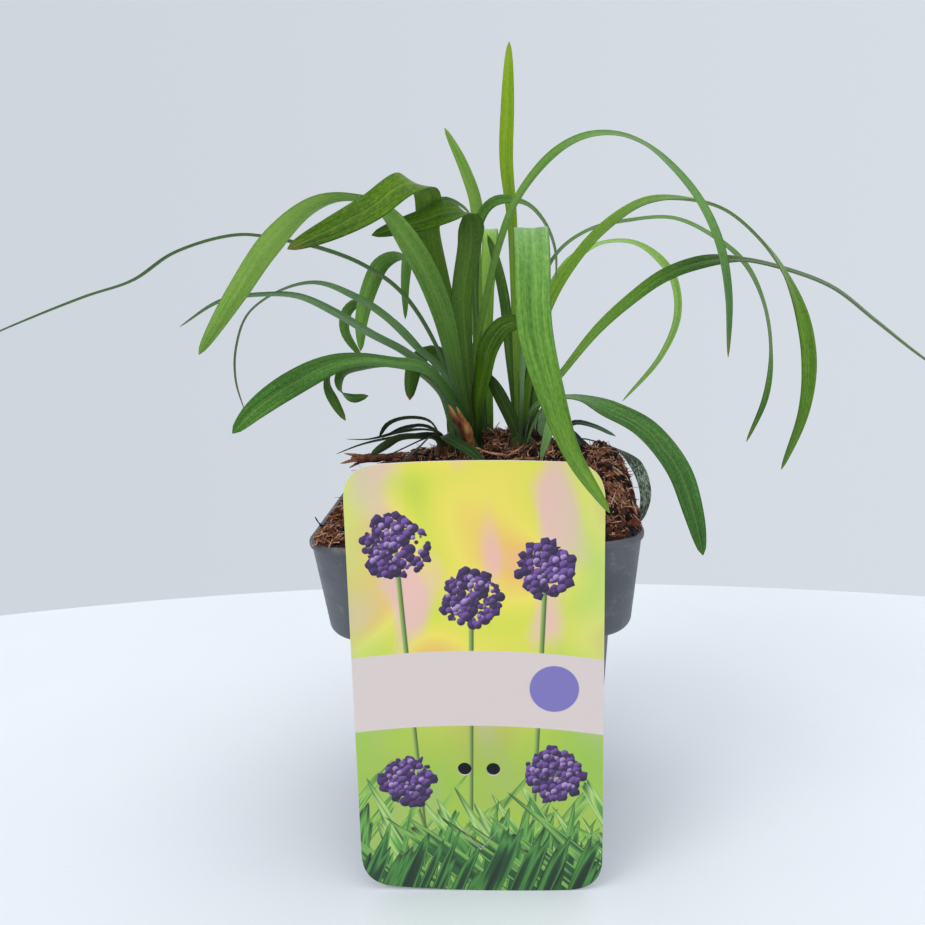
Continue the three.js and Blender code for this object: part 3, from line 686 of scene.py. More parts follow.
# ---- meshes ----
def make_mesh(name, points, faces, *materials):
    """An object at the origin with its points in metres, from points in millimetres."""
    mesh = bpy.data.meshes.new(name)
    mesh.from_pydata([[c * MM for c in point] for point in points], [], faces)
    for material in materials:
        mesh.materials.append(material)
    mesh.polygons.foreach_set("use_smooth", [True] * len(mesh.polygons))
    piece = bpy.data.objects.new(name, mesh)
    bpy.context.collection.objects.link(piece)
    return piece


def rounded_square(half, corner, count):
    """A square with round corners, as points evenly spaced round it."""
    dense = []
    for quarter in range(4):
        middle = math.pi / 4 + quarter * math.pi / 2
        reach = (half - corner) * math.sqrt(2)
        for i in range(25):
            angle = quarter * math.pi / 2 + i / 24 * math.pi / 2
            dense.append((math.cos(middle) * reach + math.cos(angle) * corner,
                          math.sin(middle) * reach + math.sin(angle) * corner))
    dense = np.array([*dense, dense[0]])
    # The walk starts in the middle of the +X side, so that levels of any corner radius line up.
    dense = np.vstack([[half, 0], dense[:-1], [half, 0]])
    walked = np.concatenate([[0], np.cumsum(np.hypot(*np.diff(dense, axis=0).T))])
    spots = np.linspace(0, walked[-1], count, endpoint=False)
    return np.stack([np.interp(spots, walked, dense[:, axis]) for axis in (0, 1)], axis=1)


def level(half, corner, z, count):
    """A square with round corners at a height."""
    flat = rounded_square(half, corner, count)
    return np.column_stack([flat, np.full(count, z)])


def stack(rings, caps=True):
    """The faces of a skin through a stack of rings, lowest first, closed by a point at each end."""
    count = len(rings[0])
    points = [tuple(p) for ring in rings for p in ring]
    faces = []
    for i in range(len(rings) - 1):
        for j in range(count):
            a, b = i * count + j, i * count + (j + 1) % count
            faces.append((a, b, b + count, a + count))
    if caps:
        low, high = len(points), len(points) + 1
        top = (len(rings) - 1) * count
        points += [tuple(np.mean(rings[0], axis=0)), tuple(np.mean(rings[-1], axis=0))]
        for j in range(count):
            following = (j + 1) % count
            faces.append((low, following, j))
            faces.append((high, top + j, top + following))
    return points, faces


def as_one(skins):
    """The points and faces of several skins together."""
    points, faces = [], []
    for more_points, more_faces in skins:
        faces += [tuple(index + len(points) for index in face) for face in more_faces]
        points += more_points
    return points, faces


def evaluated(piece, name):
    """A plain mesh object of what the piece's modifiers make. The piece itself is removed."""
    graph = bpy.context.evaluated_depsgraph_get()
    mesh = bpy.data.meshes.new_from_object(piece.evaluated_get(graph))
    bpy.data.batch_remove([piece, piece.data])
    mesh.name = name
    made = bpy.data.objects.new(name, mesh)
    bpy.context.collection.objects.link(made)
    return made


def run_tree(piece, tree, name, **inputs):
    """Runs a geometry node tree on the piece and returns its result as a plain mesh object."""
    modifier = piece.modifiers.new(name, "NODES")
    modifier.node_group = tree
    for item in tree.interface.items_tree:
        label = item.name.replace(" ", "_")
        if item.in_out == "INPUT" and label in inputs:
            modifier[item.identifier] = inputs[label]
    return evaluated(piece, name)


def upper_half(z):
    """Half of the width of the pot's upper part at a height."""
    return WALL_TOP_HALF - WALL_TAPER * (POT_HEIGHT - RIM_DEPTH - z)


def body_half(z):
    """Half of the width of the pot's narrower body at a height."""
    return BODY_HALF - BODY_TAPER * (SHOULDER - z)


def upper_level(z, inset, count):
    """A level of the pot's upper part, at a depth into the wall."""
    return level(upper_half(z) - inset, CORNER_TOP - inset, z, count)


def body_level(z, inset, count):
    """A level of the pot's narrower body, at a depth into the wall."""
    return level(body_half(z) - inset, CORNER_BODY - inset, z, count)


def shoulder_rings(inset, count, steps):
    """The shoulder's rings, from its flat underside to its side, at a depth into the wall."""
    reach = upper_half(SHOULDER + SHOULDER_ROUND) - SHOULDER_ROUND
    bend = SHOULDER_ROUND - inset
    rings = []
    for i in range(steps + 1):
        angle = i / steps * math.pi / 2
        out = bend * math.sin(angle)
        z = SHOULDER + SHOULDER_ROUND - bend * math.cos(angle)
        rings.append(level(reach + out, CORNER_TOP - SHOULDER_ROUND + out, z, count))
    return rings


# ---- pot ----
# The narrower body's outer face: each level, and how far inside the straight wall it lies.
POT_BODY = ((0, 1.6), (0.25, 0.9), (0.8, 0.35), (1.6, 0.05), (20, 0), (45, 0), (66, 0), (69, -0.05),
            (69.7, -0.3), (SHOULDER, -0.8))
# The rim's section, from outside to inside: how far it stands proud and how far it rises.
POT_RIM = ((0.1, -0.25), (0.35, 0), (0.6, 0.2), (0.7, 0.6), (0.7, 1.3), (0.6, 1.65), (0.4, 1.88), (0.1, 2),
           (-0.5, 2), (-0.75, 1.92), (-0.88, 1.7))
POT_FLOOR = (20, 8)  # the flat middle of the base: half of its width, and its corners' radius
FLOOR_BEND = 1.5  # how far up the wall the floor starts to bend
SHOULDER_STEPS = 10
CREASE = math.radians(40)  # an edge sharper than this stays sharp


def make_pot(material):
    """The thin moulded pot: a rounded lip, a wide upper part that ends in a shoulder, a drained base."""
    rim_low = POT_HEIGHT - RIM_DEPTH
    rings = [level(*POT_FLOOR, 0, POT_SIDES)]
    rings += [body_level(z, inset, POT_SIDES) for z, inset in POT_BODY]
    rings += shoulder_rings(0, POT_SIDES, SHOULDER_STEPS)
    rings += [upper_level(z, 0, POT_SIDES) for z in (80, 90, rim_low - 0.8)]
    for proud, rise in POT_RIM:
        rings.append(level(WALL_TOP_HALF + proud, CORNER_TOP + proud, rim_low + rise, POT_SIDES))
    rings += [upper_level(z, WALL_THICK, POT_SIDES) for z in (94, 80)]
    rings += reversed(shoulder_rings(WALL_THICK, POT_SIDES, SHOULDER_STEPS))
    for z in (SHOULDER + WALL_THICK, 60, 40, 20, BASE_THICK + FLOOR_BEND):
        rings.append(body_level(z, WALL_THICK, POT_SIDES))
    for inset in (0.5, 1.5, 3.0):
        z = BASE_THICK + FLOOR_BEND / (1 + inset * inset)
        rings.append(body_level(z, WALL_THICK + inset, POT_SIDES))
    rings.append(level(*POT_FLOOR, BASE_THICK, POT_SIDES))
    pot = make_mesh("nursery_pot", *stack(rings), material)
    drill = make_mesh("drill", *drain_posts())
    cut = pot.modifiers.new("drains", "BOOLEAN")
    cut.operation = "DIFFERENCE"
    cut.solver = "EXACT"
    cut.object = drill
    pot = evaluated(pot, "nursery_pot")
    bpy.data.objects.remove(drill)
    pot.data.polygons.foreach_set("use_smooth", [True] * len(pot.data.polygons))
    pot.data.set_sharp_from_angle(angle=CREASE)
    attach(pot, "root")
    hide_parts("pot")


def drain_posts():
    """A post through the base for each drain hole, in a straight place and a corner by turns."""
    posts = []
    for i in range(DRAIN_COUNT):
        angle = 2 * math.pi * i / DRAIN_COUNT
        spot = (math.cos(angle) * DRAIN_REACH[i % 2], math.sin(angle) * DRAIN_REACH[i % 2])
        ring = circle(*spot, DRAIN_RADIUS, DRAIN_SIDES)
        posts.append(stack([[(x, y, z) for x, y in ring] for z in (-1, BASE_THICK + 1)]))
    return as_one(posts)


# ---- potting mix ----
def soil_top(x, y):
    """The soil's mounds, as in the solid root ball."""
    z = POT_HEIGHT + SOIL_EDGE
    for mound_x, mound_y, height, spread in MOUNDS:
        z += height * math.exp(-((math.hypot(x - mound_x, y - mound_y) / spread) ** 3))
    lumps = math.sin(x * 0.55 + 1.3) * math.cos(y * 0.47 - 0.8) + 0.6 * math.sin((x + y) * 0.83)
    return z + 0.7 * lumps


def soil_surface(x, y):
    """The soil's top with the clods and crumbs of a coarse potting mix."""
    spot = Vector((x, y, 0))
    clods = noise.noise(spot * 0.16) * 1.6 + noise.noise(spot * 0.42) * 1.3
    crumbs = noise.noise(spot * 1.1) * 0.7
    return soil_top(x, y) + clods + crumbs


def banked(x, y, z):
    """A height on the soil, kept down near the wall, where it can't stand steeper."""
    at_wall, rise = BANKS[0] if x < 0 else BANKS[1]
    inside = max(upper_half(SOIL_RIM) - WALL_THICK - max(abs(x), abs(y)), 0)
    return min(z, POT_HEIGHT + at_wall + rise * inside)


def soil_rings():
    """Rings over the top of the soil, from the wall to the middle."""
    top_half = upper_half(SOIL_RIM) - SOIL_INSET
    rings = []
    for i in range(SOIL_RINGS):
        share = 1 - i / SOIL_RINGS
        flat = rounded_square(top_half * share, (CORNER_TOP - SOIL_INSET) * share, SOIL_SIDES)
        rings.append([(x, y, banked(x, y, max(soil_surface(x, y), SOIL_RIM + 0.4))) for x, y in flat])
    return rings


def make_soil(material):
    """The potting mix that fills the pot, with its uneven top."""
    body = (BASE_THICK + FIT_GAP, 12, 30, 50, SHOULDER + SOIL_INSET)
    rings = [body_level(z, SOIL_INSET, SOIL_SIDES) for z in body]
    rings += shoulder_rings(SOIL_INSET, SOIL_SIDES, 4)
    rings += [upper_level(z, SOIL_INSET, SOIL_SIDES) for z in (84, 92, SOIL_RIM)]
    rings += soil_rings()
    points, faces = stack(rings)
    soil = make_mesh("potting_mix", points, faces, material)
    tone = soil.data.attributes.new("tone", "FLOAT", "POINT")
    tone.data.foreach_set("value", [SOIL_TONE] * len(points))
    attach(soil, "root")
    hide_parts("root_ball")


def soil_bed(margin):
    """A sheet on the soil for loose pieces to lie on. It keeps a margin from the rim, and a wider one
    behind the card."""
    edge = level(upper_half(SOIL_RIM) - SOIL_INSET, CORNER_TOP - SOIL_INSET, SOIL_RIM + 0.6, SOIL_SIDES)
    rings = [edge, *soil_rings()]
    kept = [ring for ring in rings if max(abs(p[0]) for p in ring) <= RIM_HALF - margin]
    points, faces = stack(kept, caps=False)
    free = []
    for face in faces:
        x, y, _ = points[face[0]]
        clear_of_card = y > LITTER_FRONT - RIM_HALF or abs(x - CARD_X) > CARD_WIDTH / 2 + 2
        if clear_of_card and x > LITTER_LEFT - RIM_HALF:
            free.append(face)
    return make_mesh("bed", points, free)


def random_value(tree, low, high, seed):
    """A random number for each point."""
    node = put(tree, "FunctionNodeRandomValue", {2: low, 3: high, 8: seed}, data_type="FLOAT")
    return node.outputs[1]


def noted(tree, geometry, name, value, domain="POINT"):
    """The geometry with a number stored on it by name."""
    node = put(tree, "GeometryNodeStoreNamedAttribute",
               {"Geometry": geometry, "Name": name, "Value": value}, domain=domain, data_type="FLOAT")
    return node.outputs[0]


def realized(tree, geometry):
    return put(tree, "GeometryNodeRealizeInstances", {"Geometry": geometry}).outputs[0]


def end_tree(tree, given, result, geometry):
    """Ends a tree: real geometry, with its material."""
    done = put(tree, "GeometryNodeSetMaterial",
               {"Geometry": realized(tree, geometry), "Material": given["Material"]})
    tree.links.new(done.outputs[0], result["Geometry"])
    return tree


def scatter(tree, given, instance):
    """Lays copies of a shape on a surface, each turned about the surface and tipped by chance."""
    spread = put(tree, "GeometryNodeDistributePointsOnFaces",
                 {"Mesh": given["Geometry"], "Density": given["Density"], "Seed": given["Seed"]})
    yaw = random_value(tree, 0.0, 2 * math.pi, 1)
    pitch = times(tree, random_value(tree, -1.0, 1.0, 2), given["Tip"])
    turn = joined(tree, 0.0, pitch, yaw)
    turn = put(tree, "FunctionNodeEulerToRotation", {0: turn}).outputs[0]
    turned = put(tree, "FunctionNodeRotateRotation", {0: spread.outputs["Rotation"], 1: turn},
                 rotation_space="LOCAL")
    size = random_value(tree, 0.0, 1.0, 3)
    size = times(tree, size, size)
    span = minus(tree, given["Longest"], given["Shortest"])
    length = scaled(tree, size, span, given["Shortest"])
    laid = put(tree, "GeometryNodeInstanceOnPoints",
               {"Points": spread.outputs["Points"], "Instance": instance, "Rotation": turned.outputs[0],
                "Scale": joined(tree, length, length, length)})
    toned = noted(tree, laid.outputs[0], "tone", random_value(tree, 0.0, 1.0, 5), "INSTANCE")
    return realized(tree, noted(tree, toned, "odd", random_value(tree, 0.0, 9.0, 6), "INSTANCE"))


SCATTER_INPUTS = [("Geometry", GEOMETRY, None), ("Density", FLOAT, 1000.0), ("Seed", WHOLE, SEED),
                  ("Shortest", FLOAT, 0.002), ("Longest", FLOAT, 0.01), ("Tip", FLOAT, 0.3),
                  ("Material", MATERIAL, None)]


def named(tree, name, kind="FLOAT"):
    """A value that the geometry carries by name."""
    return put(tree, "GeometryNodeInputNamedAttribute", {"Name": name}, data_type=kind).outputs["Attribute"]


def offset_by_noise(tree, scale, amount):
    """A wandering offset that differs from piece to piece."""
    place = tree.nodes.new("GeometryNodeInputPosition").outputs[0]
    wander = put(tree, "ShaderNodeTexNoise", {"Vector": place, "W": named(tree, "odd"), "Scale": scale,
                                              "Detail": 1.0}, noise_dimensions="4D")
    centred = vectors(tree, "SUBTRACT", wander.outputs["Color"], (0.5, 0.5, 0.5))
    return put(tree, "ShaderNodeVectorMath", {0: centred, "Scale": amount}, operation="SCALE").outputs[0]


def chip_tree():
    """Flakes of bark: thin blocks, scattered, then broken up by a wandering offset."""
    tree, given, result = new_group(
        "bark chips",
        [*SCATTER_INPUTS, ("Ragged", FLOAT, 0.001), ("Block", VECTOR, (1.0, 0.34, 0.13))],
        [("Geometry", GEOMETRY)], "GeometryNodeTree")
    block = put(tree, "GeometryNodeMeshCube", {"Size": given["Block"], "Vertices X": 3, "Vertices Y": 3,
                                               "Vertices Z": 2})
    pieces = scatter(tree, given, block.outputs["Mesh"])
    moved = put(tree, "GeometryNodeSetPosition",
                {"Geometry": pieces, "Offset": offset_by_noise(tree, 420.0, given["Ragged"])})
    flat = put(tree, "GeometryNodeSetShadeSmooth", {"Geometry": moved.outputs[0], "Shade Smooth": False})
    return end_tree(tree, given, result, flat.outputs[0])


def fibre_tree():
    """Coir fibres: short lines, scattered, bent by a wandering offset and given a slim section."""
    tree, given, result = new_group(
        "coir fibres",
        [*SCATTER_INPUTS, ("Wander", FLOAT, 0.004), ("Thickness", FLOAT, 0.0002), ("Steps", WHOLE, 7)],
        [("Geometry", GEOMETRY)], "GeometryNodeTree")
    line = put(tree, "GeometryNodeCurvePrimitiveLine", {"Start": (-0.5, 0.0, 0.0), "End": (0.5, 0.0, 0.04)})
    line = put(tree, "GeometryNodeResampleCurve", {"Curve": line.outputs[0], "Count": given["Steps"]})
    pieces = scatter(tree, given, line.outputs[0])
    bent = put(tree, "GeometryNodeSetPosition",
               {"Geometry": pieces, "Offset": offset_by_noise(tree, 160.0, given["Wander"])})
    share = tree.nodes.new("GeometryNodeSplineParameter").outputs["Factor"]
    taper = maths(tree, "SINE", times(tree, share, math.pi))
    width = scaled(tree, taper, 0.7, 0.35)
    coarse = scaled(tree, named(tree, "tone"), 0.7, 0.6)
    width = times(tree, times(tree, width, coarse), given["Thickness"])
    ring = put(tree, "GeometryNodeCurvePrimitiveCircle", {"Resolution": FIBRE_SIDES, "Radius": 0.5})
    tube = put(tree, "GeometryNodeCurveToMesh",
               {"Curve": bent.outputs[0], "Profile Curve": ring.outputs[0], "Scale": width,
                "Fill Caps": True})
    return end_tree(tree, given, result, tube.outputs[0])


def make_litter(chips, fibres, chip_look, fibre_look, root_look):
    """The loose pieces on the soil: bark, coarse strands, fine fibres, and roots round the crown."""
    made = [
        run_tree(soil_bed(0), chips, "bark_crumbs", Density=600000.0, Seed=SEED, Shortest=0.0009,
                 Longest=0.0028, Tip=0.8, Ragged=0.0008, Block=(1.0, 0.7, 0.5), Material=chip_look),
        run_tree(soil_bed(3), chips, "bark_chips", Density=36000.0, Seed=SEED + 4, Shortest=0.0015,
                 Longest=0.004, Tip=0.5, Ragged=0.0012, Block=(1.0, 0.34, 0.13), Material=chip_look),
        run_tree(soil_bed(2.5), fibres, "coarse_strands", Density=540000.0, Seed=SEED + 1,
                 Shortest=0.0025, Longest=0.0105, Tip=0.35, Wander=0.003, Thickness=0.00036, Steps=6,
                 Material=fibre_look),
        run_tree(soil_bed(0), fibres, "coir_fibres", Density=700000.0, Seed=SEED + 2,
                 Shortest=0.002, Longest=0.006, Tip=0.4, Wander=0.004, Thickness=0.00026, Steps=5,
                 Material=fibre_look),
        run_tree(soil_bed(30), fibres, "crown_roots", Density=3000000.0, Seed=SEED + 3,
                 Shortest=0.002, Longest=0.006, Tip=1.1, Wander=0.004, Thickness=0.00025, Steps=5,
                 Material=root_look),
    ]
    for piece in made:
        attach(piece, "root")


# Strips of bark and a twig: the radius and the tone at each end, then the points along the middle.
STRIPS = (
    ((1.7, 1.5), (0.6, 0.3), ((-45, 35, 104.4), (-40, 35, 104.3), (-33, 35, 104.2), (-24, 35, 104.4),
                              (-13, 34, 104.6))),
    ((0.5, 1.2), (0.75, 0.5), ((-49, 36, 102.4), (-45, 35.5, 103.4), (-40, 35, 103.9), (-36, 35, 103.8))),
    ((0.4, 1.0), (0.7, 0.5), ((-47, 34, 106.2), (-44, 34.5, 105.5), (-40, 35, 104.6), (-36, 35, 104))),
    ((0.5, 0.9), (0.5, 0.4), ((-46, 36, 100.8), (-43, 36, 102.4), (-39, 35.5, 103.2), (-34, 35, 103.4))),
    ((0.2, 0.4), (0.0, 0.0), ((-44.2, -26, 101.4), (-43, -26, 99.4), (-41.6, -26, 97.6))),
    ((0.3, 0.5), (1.0, 0.8), ((0, -10, 116.2), (2, -11, 115.4), (5, -12, 114.6), (9, -13, 114.2))),
    ((0.4, 0.5), (0.9, 0.7), ((9, -14, 114.4), (11, -13, 115.2), (13, -11, 116), (13.6, -10, 116.4))),
    ((0.4, 0.6), (0.8, 0.6), ((6, -16, 112.6), (10, -16, 113.4), (14, -15, 113.6), (18, -15, 113))),
    ((0.5, 0.7), (1.0, 0.8), ((31, -41, 98.8), (33, -41, 99), (35, -41, 99.2), (37, -40, 99))),
    ((0.4, 0.5), (0.8, 0.7), ((37, -40, 98.6), (39, -38, 99.4), (41, -35, 99))),
)
STRIP_RINGS, STRIP_SIDES = 40, 9

# Straws and shreds: how many, the middle of their bed and its half widths, the way they head and its
# spread, the shortest and the longest, their curl and their palest tone.
STRAWS = (
    (60, (38.5, -31), (3, 3.5), -0.65, 0.35, (5, 9), 0.03, 1.05),
    (20, (38.5, -31), (3, 3.5), -1.3, 0.4, (4, 7), 0.03, 1.1),
    (110, (34, -22), (7, 7), -0.2, 1.6, (3, 7), 0.04, 1.1),
    (210, (-38, -29), (3.6, 13), 0.0, 1.6, (2.5, 6), 0.1, 0.92),
    (140, (6, -8), (21, 8), 0.0, 1.6, (2.5, 6), 0.08, 1.2),
)
STRAW_RINGS, STRAW_SIDES = 9, 4
STRAW_MARGIN = 2.2  # how far inside the rim they stay
STRAW_LIFT = (0.3, 1.2)  # how high they lie on the soil
STRAW_RADIUS = (0.14, 0.26)
STRAW_TONES = 0.45  # from the palest to the darkest
STRAIGHT = 0.05  # a straw that curls less than this is straight


def straws():
    """Each straw's radius and tone at its two ends, and the points along its middle."""
    luck = np.random.default_rng(SEED)
    wall = RIM_HALF - STRAW_MARGIN
    for count, middle, reach, heading, spread, (shortest, longest), curl, palest in STRAWS:
        for _ in range(count):
            x, y = (middle[axis] + reach[axis] * luck.uniform(-1, 1) for axis in (0, 1))
            angle = heading + spread * luck.uniform(-1, 1)
            length = luck.uniform(shortest, longest)
            lift = luck.uniform(*STRAW_LIFT)
            path = []
            for share in (-0.5, -0.17, 0.17, 0.5):
                sway = curl * length * luck.normal()
                spot_x = x + share * length * math.cos(angle) - sway * math.sin(angle)
                spot_y = y + share * length * math.sin(angle) + sway * math.cos(angle)
                spot_x, spot_y = np.clip((spot_x, spot_y), -wall, wall)
                level_here = banked(spot_x, spot_y, soil_surface(spot_x, spot_y))
                path.append((spot_x, spot_y, max(level_here, SOIL_RIM) + lift))
            if curl < STRAIGHT:
                path = [tuple(path[0][i] + (path[-1][i] - path[0][i]) * share for i in range(3))
                        for share in (0, 0.33, 0.66, 1)]
            radius = luck.uniform(*STRAW_RADIUS)
            tone = luck.uniform(palest - STRAW_TONES, palest)
            yield (radius, radius), (tone, tone), path


def make_sliver(material):
    """The long ragged sliver of bark that reaches over the back left corner, a twig and the straws."""
    skins, tones = [], []
    rows = [(*row, STRIP_RINGS, STRIP_SIDES) for row in STRIPS]
    rows += [(*row, STRAW_RINGS, STRAW_SIDES) for row in straws()]
    for (first, last), (pale, dark), path, count, sides in rows:
        line, _ = rope(path, count)
        rings = []
        for i, spot in enumerate(line):
            share = i / (len(line) - 1)
            radius = (first + (last - first) * share) * min(1, 0.3 + 4 * share, 0.4 + 4 * (1 - share))
            ring = []
            for j in range(sides):
                angle = 2 * math.pi * j / sides
                grain = noise.noise(Vector((spot[0] * 0.35, j * 1.7, first * 9)))
                rough = noise.noise(Vector((spot[0] * 1.4, j * 2.3, first * 5)))
                out = radius * (1 + 0.4 * grain + 0.25 * rough)
                ring.append((spot[0] + 0.4 * rough, spot[1] + 1.25 * out * math.cos(angle),
                             spot[2] + 0.85 * out * math.sin(angle)))
            rings.append(ring)
            tones += [pale + (dark - pale) * share] * sides
        tones += [pale, dark]
        skins.append(stack(rings))
    sliver = make_mesh("bark_sliver", *as_one(skins), material)
    sliver.data.attributes.new("tone", "FLOAT", "POINT").data.foreach_set("value", tones)
    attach(sliver, "root")


# ---- label card ----
def bow(first, bend, last, count=20):
    """Points of a quadratic curve after its first one."""
    shares = [(i + 1) / count for i in range(count)]
    return [tuple((1 - t) ** 2 * a + 2 * t * (1 - t) * b + t * t * c
                  for a, b, c in zip(first, bend, last)) for t in shares]


def card_outline():
    """The card's edge: round corners, with the short edges bowed outwards."""
    half, side = CARD_WIDTH / 2, CARD_HEIGHT - CARD_BULGE
    inner, corner = half - CARD_CORNER, CARD_CORNER
    low, high = CARD_BULGE * 0.5, side + CARD_BULGE * 0.5
    points = bow((-inner, low), (0, -low), (inner, low))
    points += bow((inner, low), (half, CARD_BULGE), (half, CARD_BULGE + corner), 12)
    points += [(half, side - corner)]
    points += bow((half, side - corner), (half, side), (inner, high), 12)
    points += bow((inner, high), (0, side + CARD_BULGE * 1.5), (-inner, high))
    points += bow((-inner, high), (-half, side), (-half, side - corner), 12)
    points += [(-half, CARD_BULGE + corner)]
    return points + bow((-half, CARD_BULGE + corner), (-half, CARD_BULGE), (-inner, low), 12)


def make_card(print_look, white):
    """The card, its print on the front alone, leaning on the rim."""
    data = bpy.data.curves.new("card", "CURVE")
    data.dimensions = "2D"
    data.fill_mode = "BOTH"
    data.extrude = (CARD_THICK / 2 - CARD_EDGE) * MM
    data.bevel_depth = CARD_EDGE * MM
    data.bevel_resolution = 1
    data.offset = -CARD_EDGE * MM
    loops = [card_outline(), SLIT]
    for side in (-1, 1):
        middle = side * CARD_HOLE_SPACING / 2
        loops.append(circle(middle, CARD_HOLE_LEVEL, CARD_HOLE_RADIUS, CARD_HOLE_SIDES))
    for loop in loops:
        spline = data.splines.new("POLY")
        spline.points.add(len(loop) - 1)
        for point, (x, y) in zip(spline.points, loop):
            point.co = (x * MM, y * MM, 0, 1)
        spline.use_cyclic_u = True
    flat = bpy.data.objects.new("card", data)
    bpy.context.collection.objects.link(flat)
    card = evaluated(flat, "label_card_print")
    mesh = card.data
    mesh.materials.clear()
    mesh.materials.append(print_look)
    mesh.materials.append(white)
    uv = mesh.uv_layers.new(name="print")
    for face in mesh.polygons:
        face.material_index = 0 if face.normal.z > 0.7 else 1
        face.use_smooth = False
        for corner in face.loop_indices:
            spot = mesh.vertices[mesh.loops[corner].vertex_index].co
            uv.data[corner].uv = (spot.x / MM / PRINT_UNIT, spot.y / MM / PRINT_UNIT)
    foot = -RIM_HALF - FIT_GAP - (CARD_THICK + POT_HEIGHT * math.sin(CARD_LEAN)) / math.cos(CARD_LEAN)
    place = Matrix.Translation(Vector((CARD_X, foot + CARD_THICK, CARD_RAISE)) * MM)
    turn = Matrix.Rotation(math.pi / 2 - CARD_LEAN, 4, "X") @ Matrix.Rotation(CARD_ROLL, 4, "Z")
    mesh.transform(place @ turn @ Matrix.Translation((0, 0, CARD_THICK / 2 * MM)))
    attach(card, "root")
    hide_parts("label_card")


# ---- leaves ----
def blade(width, tone, mottle, dry, *points):
    """A blade: its width, its tone from dark to light, how warm and mottled it is, how dry its tip is,
    and the points of its middle line. A list of tones or mottlings runs from foot to tip. A point is
    x, y, z and the blade's turn about that line, in degrees."""
    return {"width": width, "tone": tone, "mottle": mottle, "dry": dry, "points": points}


BLADE_FOOT = 0.45  # a blade's width at its foot, as a share of its full width
BLADE_FULL = 0.5  # where along the blade it is full
BLADE_TIP = 0.72  # where the tip's rounding begins
BLADE_BLUNT = 0.0015
BLADE_SWAY = math.radians(3.5)
TURN_WINDOW = np.hanning(7) / np.hanning(7).sum()  # evens out a blade's turns
ROPE_STEPS = 30  # for each point of a blade, before its line is cut into even steps


def blade_width(share):
    """A blade's width along it, as a share of its full width."""
    foot = BLADE_FOOT + (1 - BLADE_FOOT) * np.minimum(share / BLADE_FULL, 1) ** 0.8
    tip = np.maximum((share - BLADE_TIP) / (1 - BLADE_TIP), 0)
    return foot * np.sqrt(np.maximum(1 - tip * tip, BLADE_BLUNT))


def rope(points, count):
    """Points along a centripetal Catmull-Rom curve, and their places between its own points."""
    points = np.array(points, float)
    ends = (2 * points[0] - points[1], 2 * points[-1] - points[-2])
    padded = np.vstack([ends[0], points, ends[1]])
    places = np.linspace(0, len(points) - 1, count)
    spots = []
    for place in places:
        i = min(int(place), len(points) - 2)
        p0, p1, p2, p3 = padded[i:i + 4]
        d0, d1, d2 = (max(np.linalg.norm(b - a) ** 0.5, 1e-4) for a, b in ((p0, p1), (p1, p2), (p2, p3)))
        leave = ((p1 - p0) / d0 - (p2 - p0) / (d0 + d1) + (p2 - p1) / d1) * d1
        reach = ((p2 - p1) / d1 - (p3 - p1) / (d1 + d2) + (p3 - p2) / d2) * d1
        t = place - i
        spots.append(p1 + leave * t + (-3 * p1 + 3 * p2 - 2 * leave - reach) * t ** 2
                     + (2 * p1 - 2 * p2 + leave + reach) * t ** 3)
    return np.array(spots), places


def spine(leaf, foot, luck):
    """A blade's middle line in even steps, with its side direction and half width at each."""
    points = leaf["points"]
    path = [(*foot, ROOT_LEVEL + BLADE_SUNK), *[p[:3] for p in points]]
    turns = [points[0][3], *[p[3] for p in points]]
    dense, places = rope(path, len(path) * ROPE_STEPS)
    walked = np.concatenate([[0], np.cumsum(np.linalg.norm(np.diff(dense, axis=0), axis=1))])
    length = walked[-1]
    count = max(int(length / BLADE_STEP), 8)
    even = np.linspace(0, length, count)
    line = np.stack([np.interp(even, walked, dense[:, axis]) for axis in range(3)], axis=1)
    turn = np.radians(np.interp(np.interp(even, walked, places), range(len(turns)), turns))
    turn = np.convolve(np.pad(turn, len(TURN_WINDOW) // 2, mode="edge"), TURN_WINDOW, mode="valid")
    share = even / length
    turn += BLADE_SWAY * np.sin(share * (9 + 5 * luck.random()) + 6 * luck.random()) * share
    tangent = np.gradient(line, axis=0)
    tangent /= np.linalg.norm(tangent, axis=1)[:, None]
    (first_x, first_y), (last_x, last_y) = points[0][:2], points[-1][:2]
    across = np.array([first_y - last_y, last_x - first_x, 0.0])
    across /= np.linalg.norm(across)
    side = across - tangent * (tangent @ across)[:, None]
    side /= np.linalg.norm(side, axis=1)[:, None]
    face = np.cross(tangent, side)
    side = side * np.cos(turn)[:, None] + face * np.sin(turn)[:, None]
    return line, side, leaf["width"] / 2 * blade_width(share), share


LEAF_APART, SHOOT_APART = 3.7, 41.0  # how far apart leaves and shoots lie in the noise that marks them


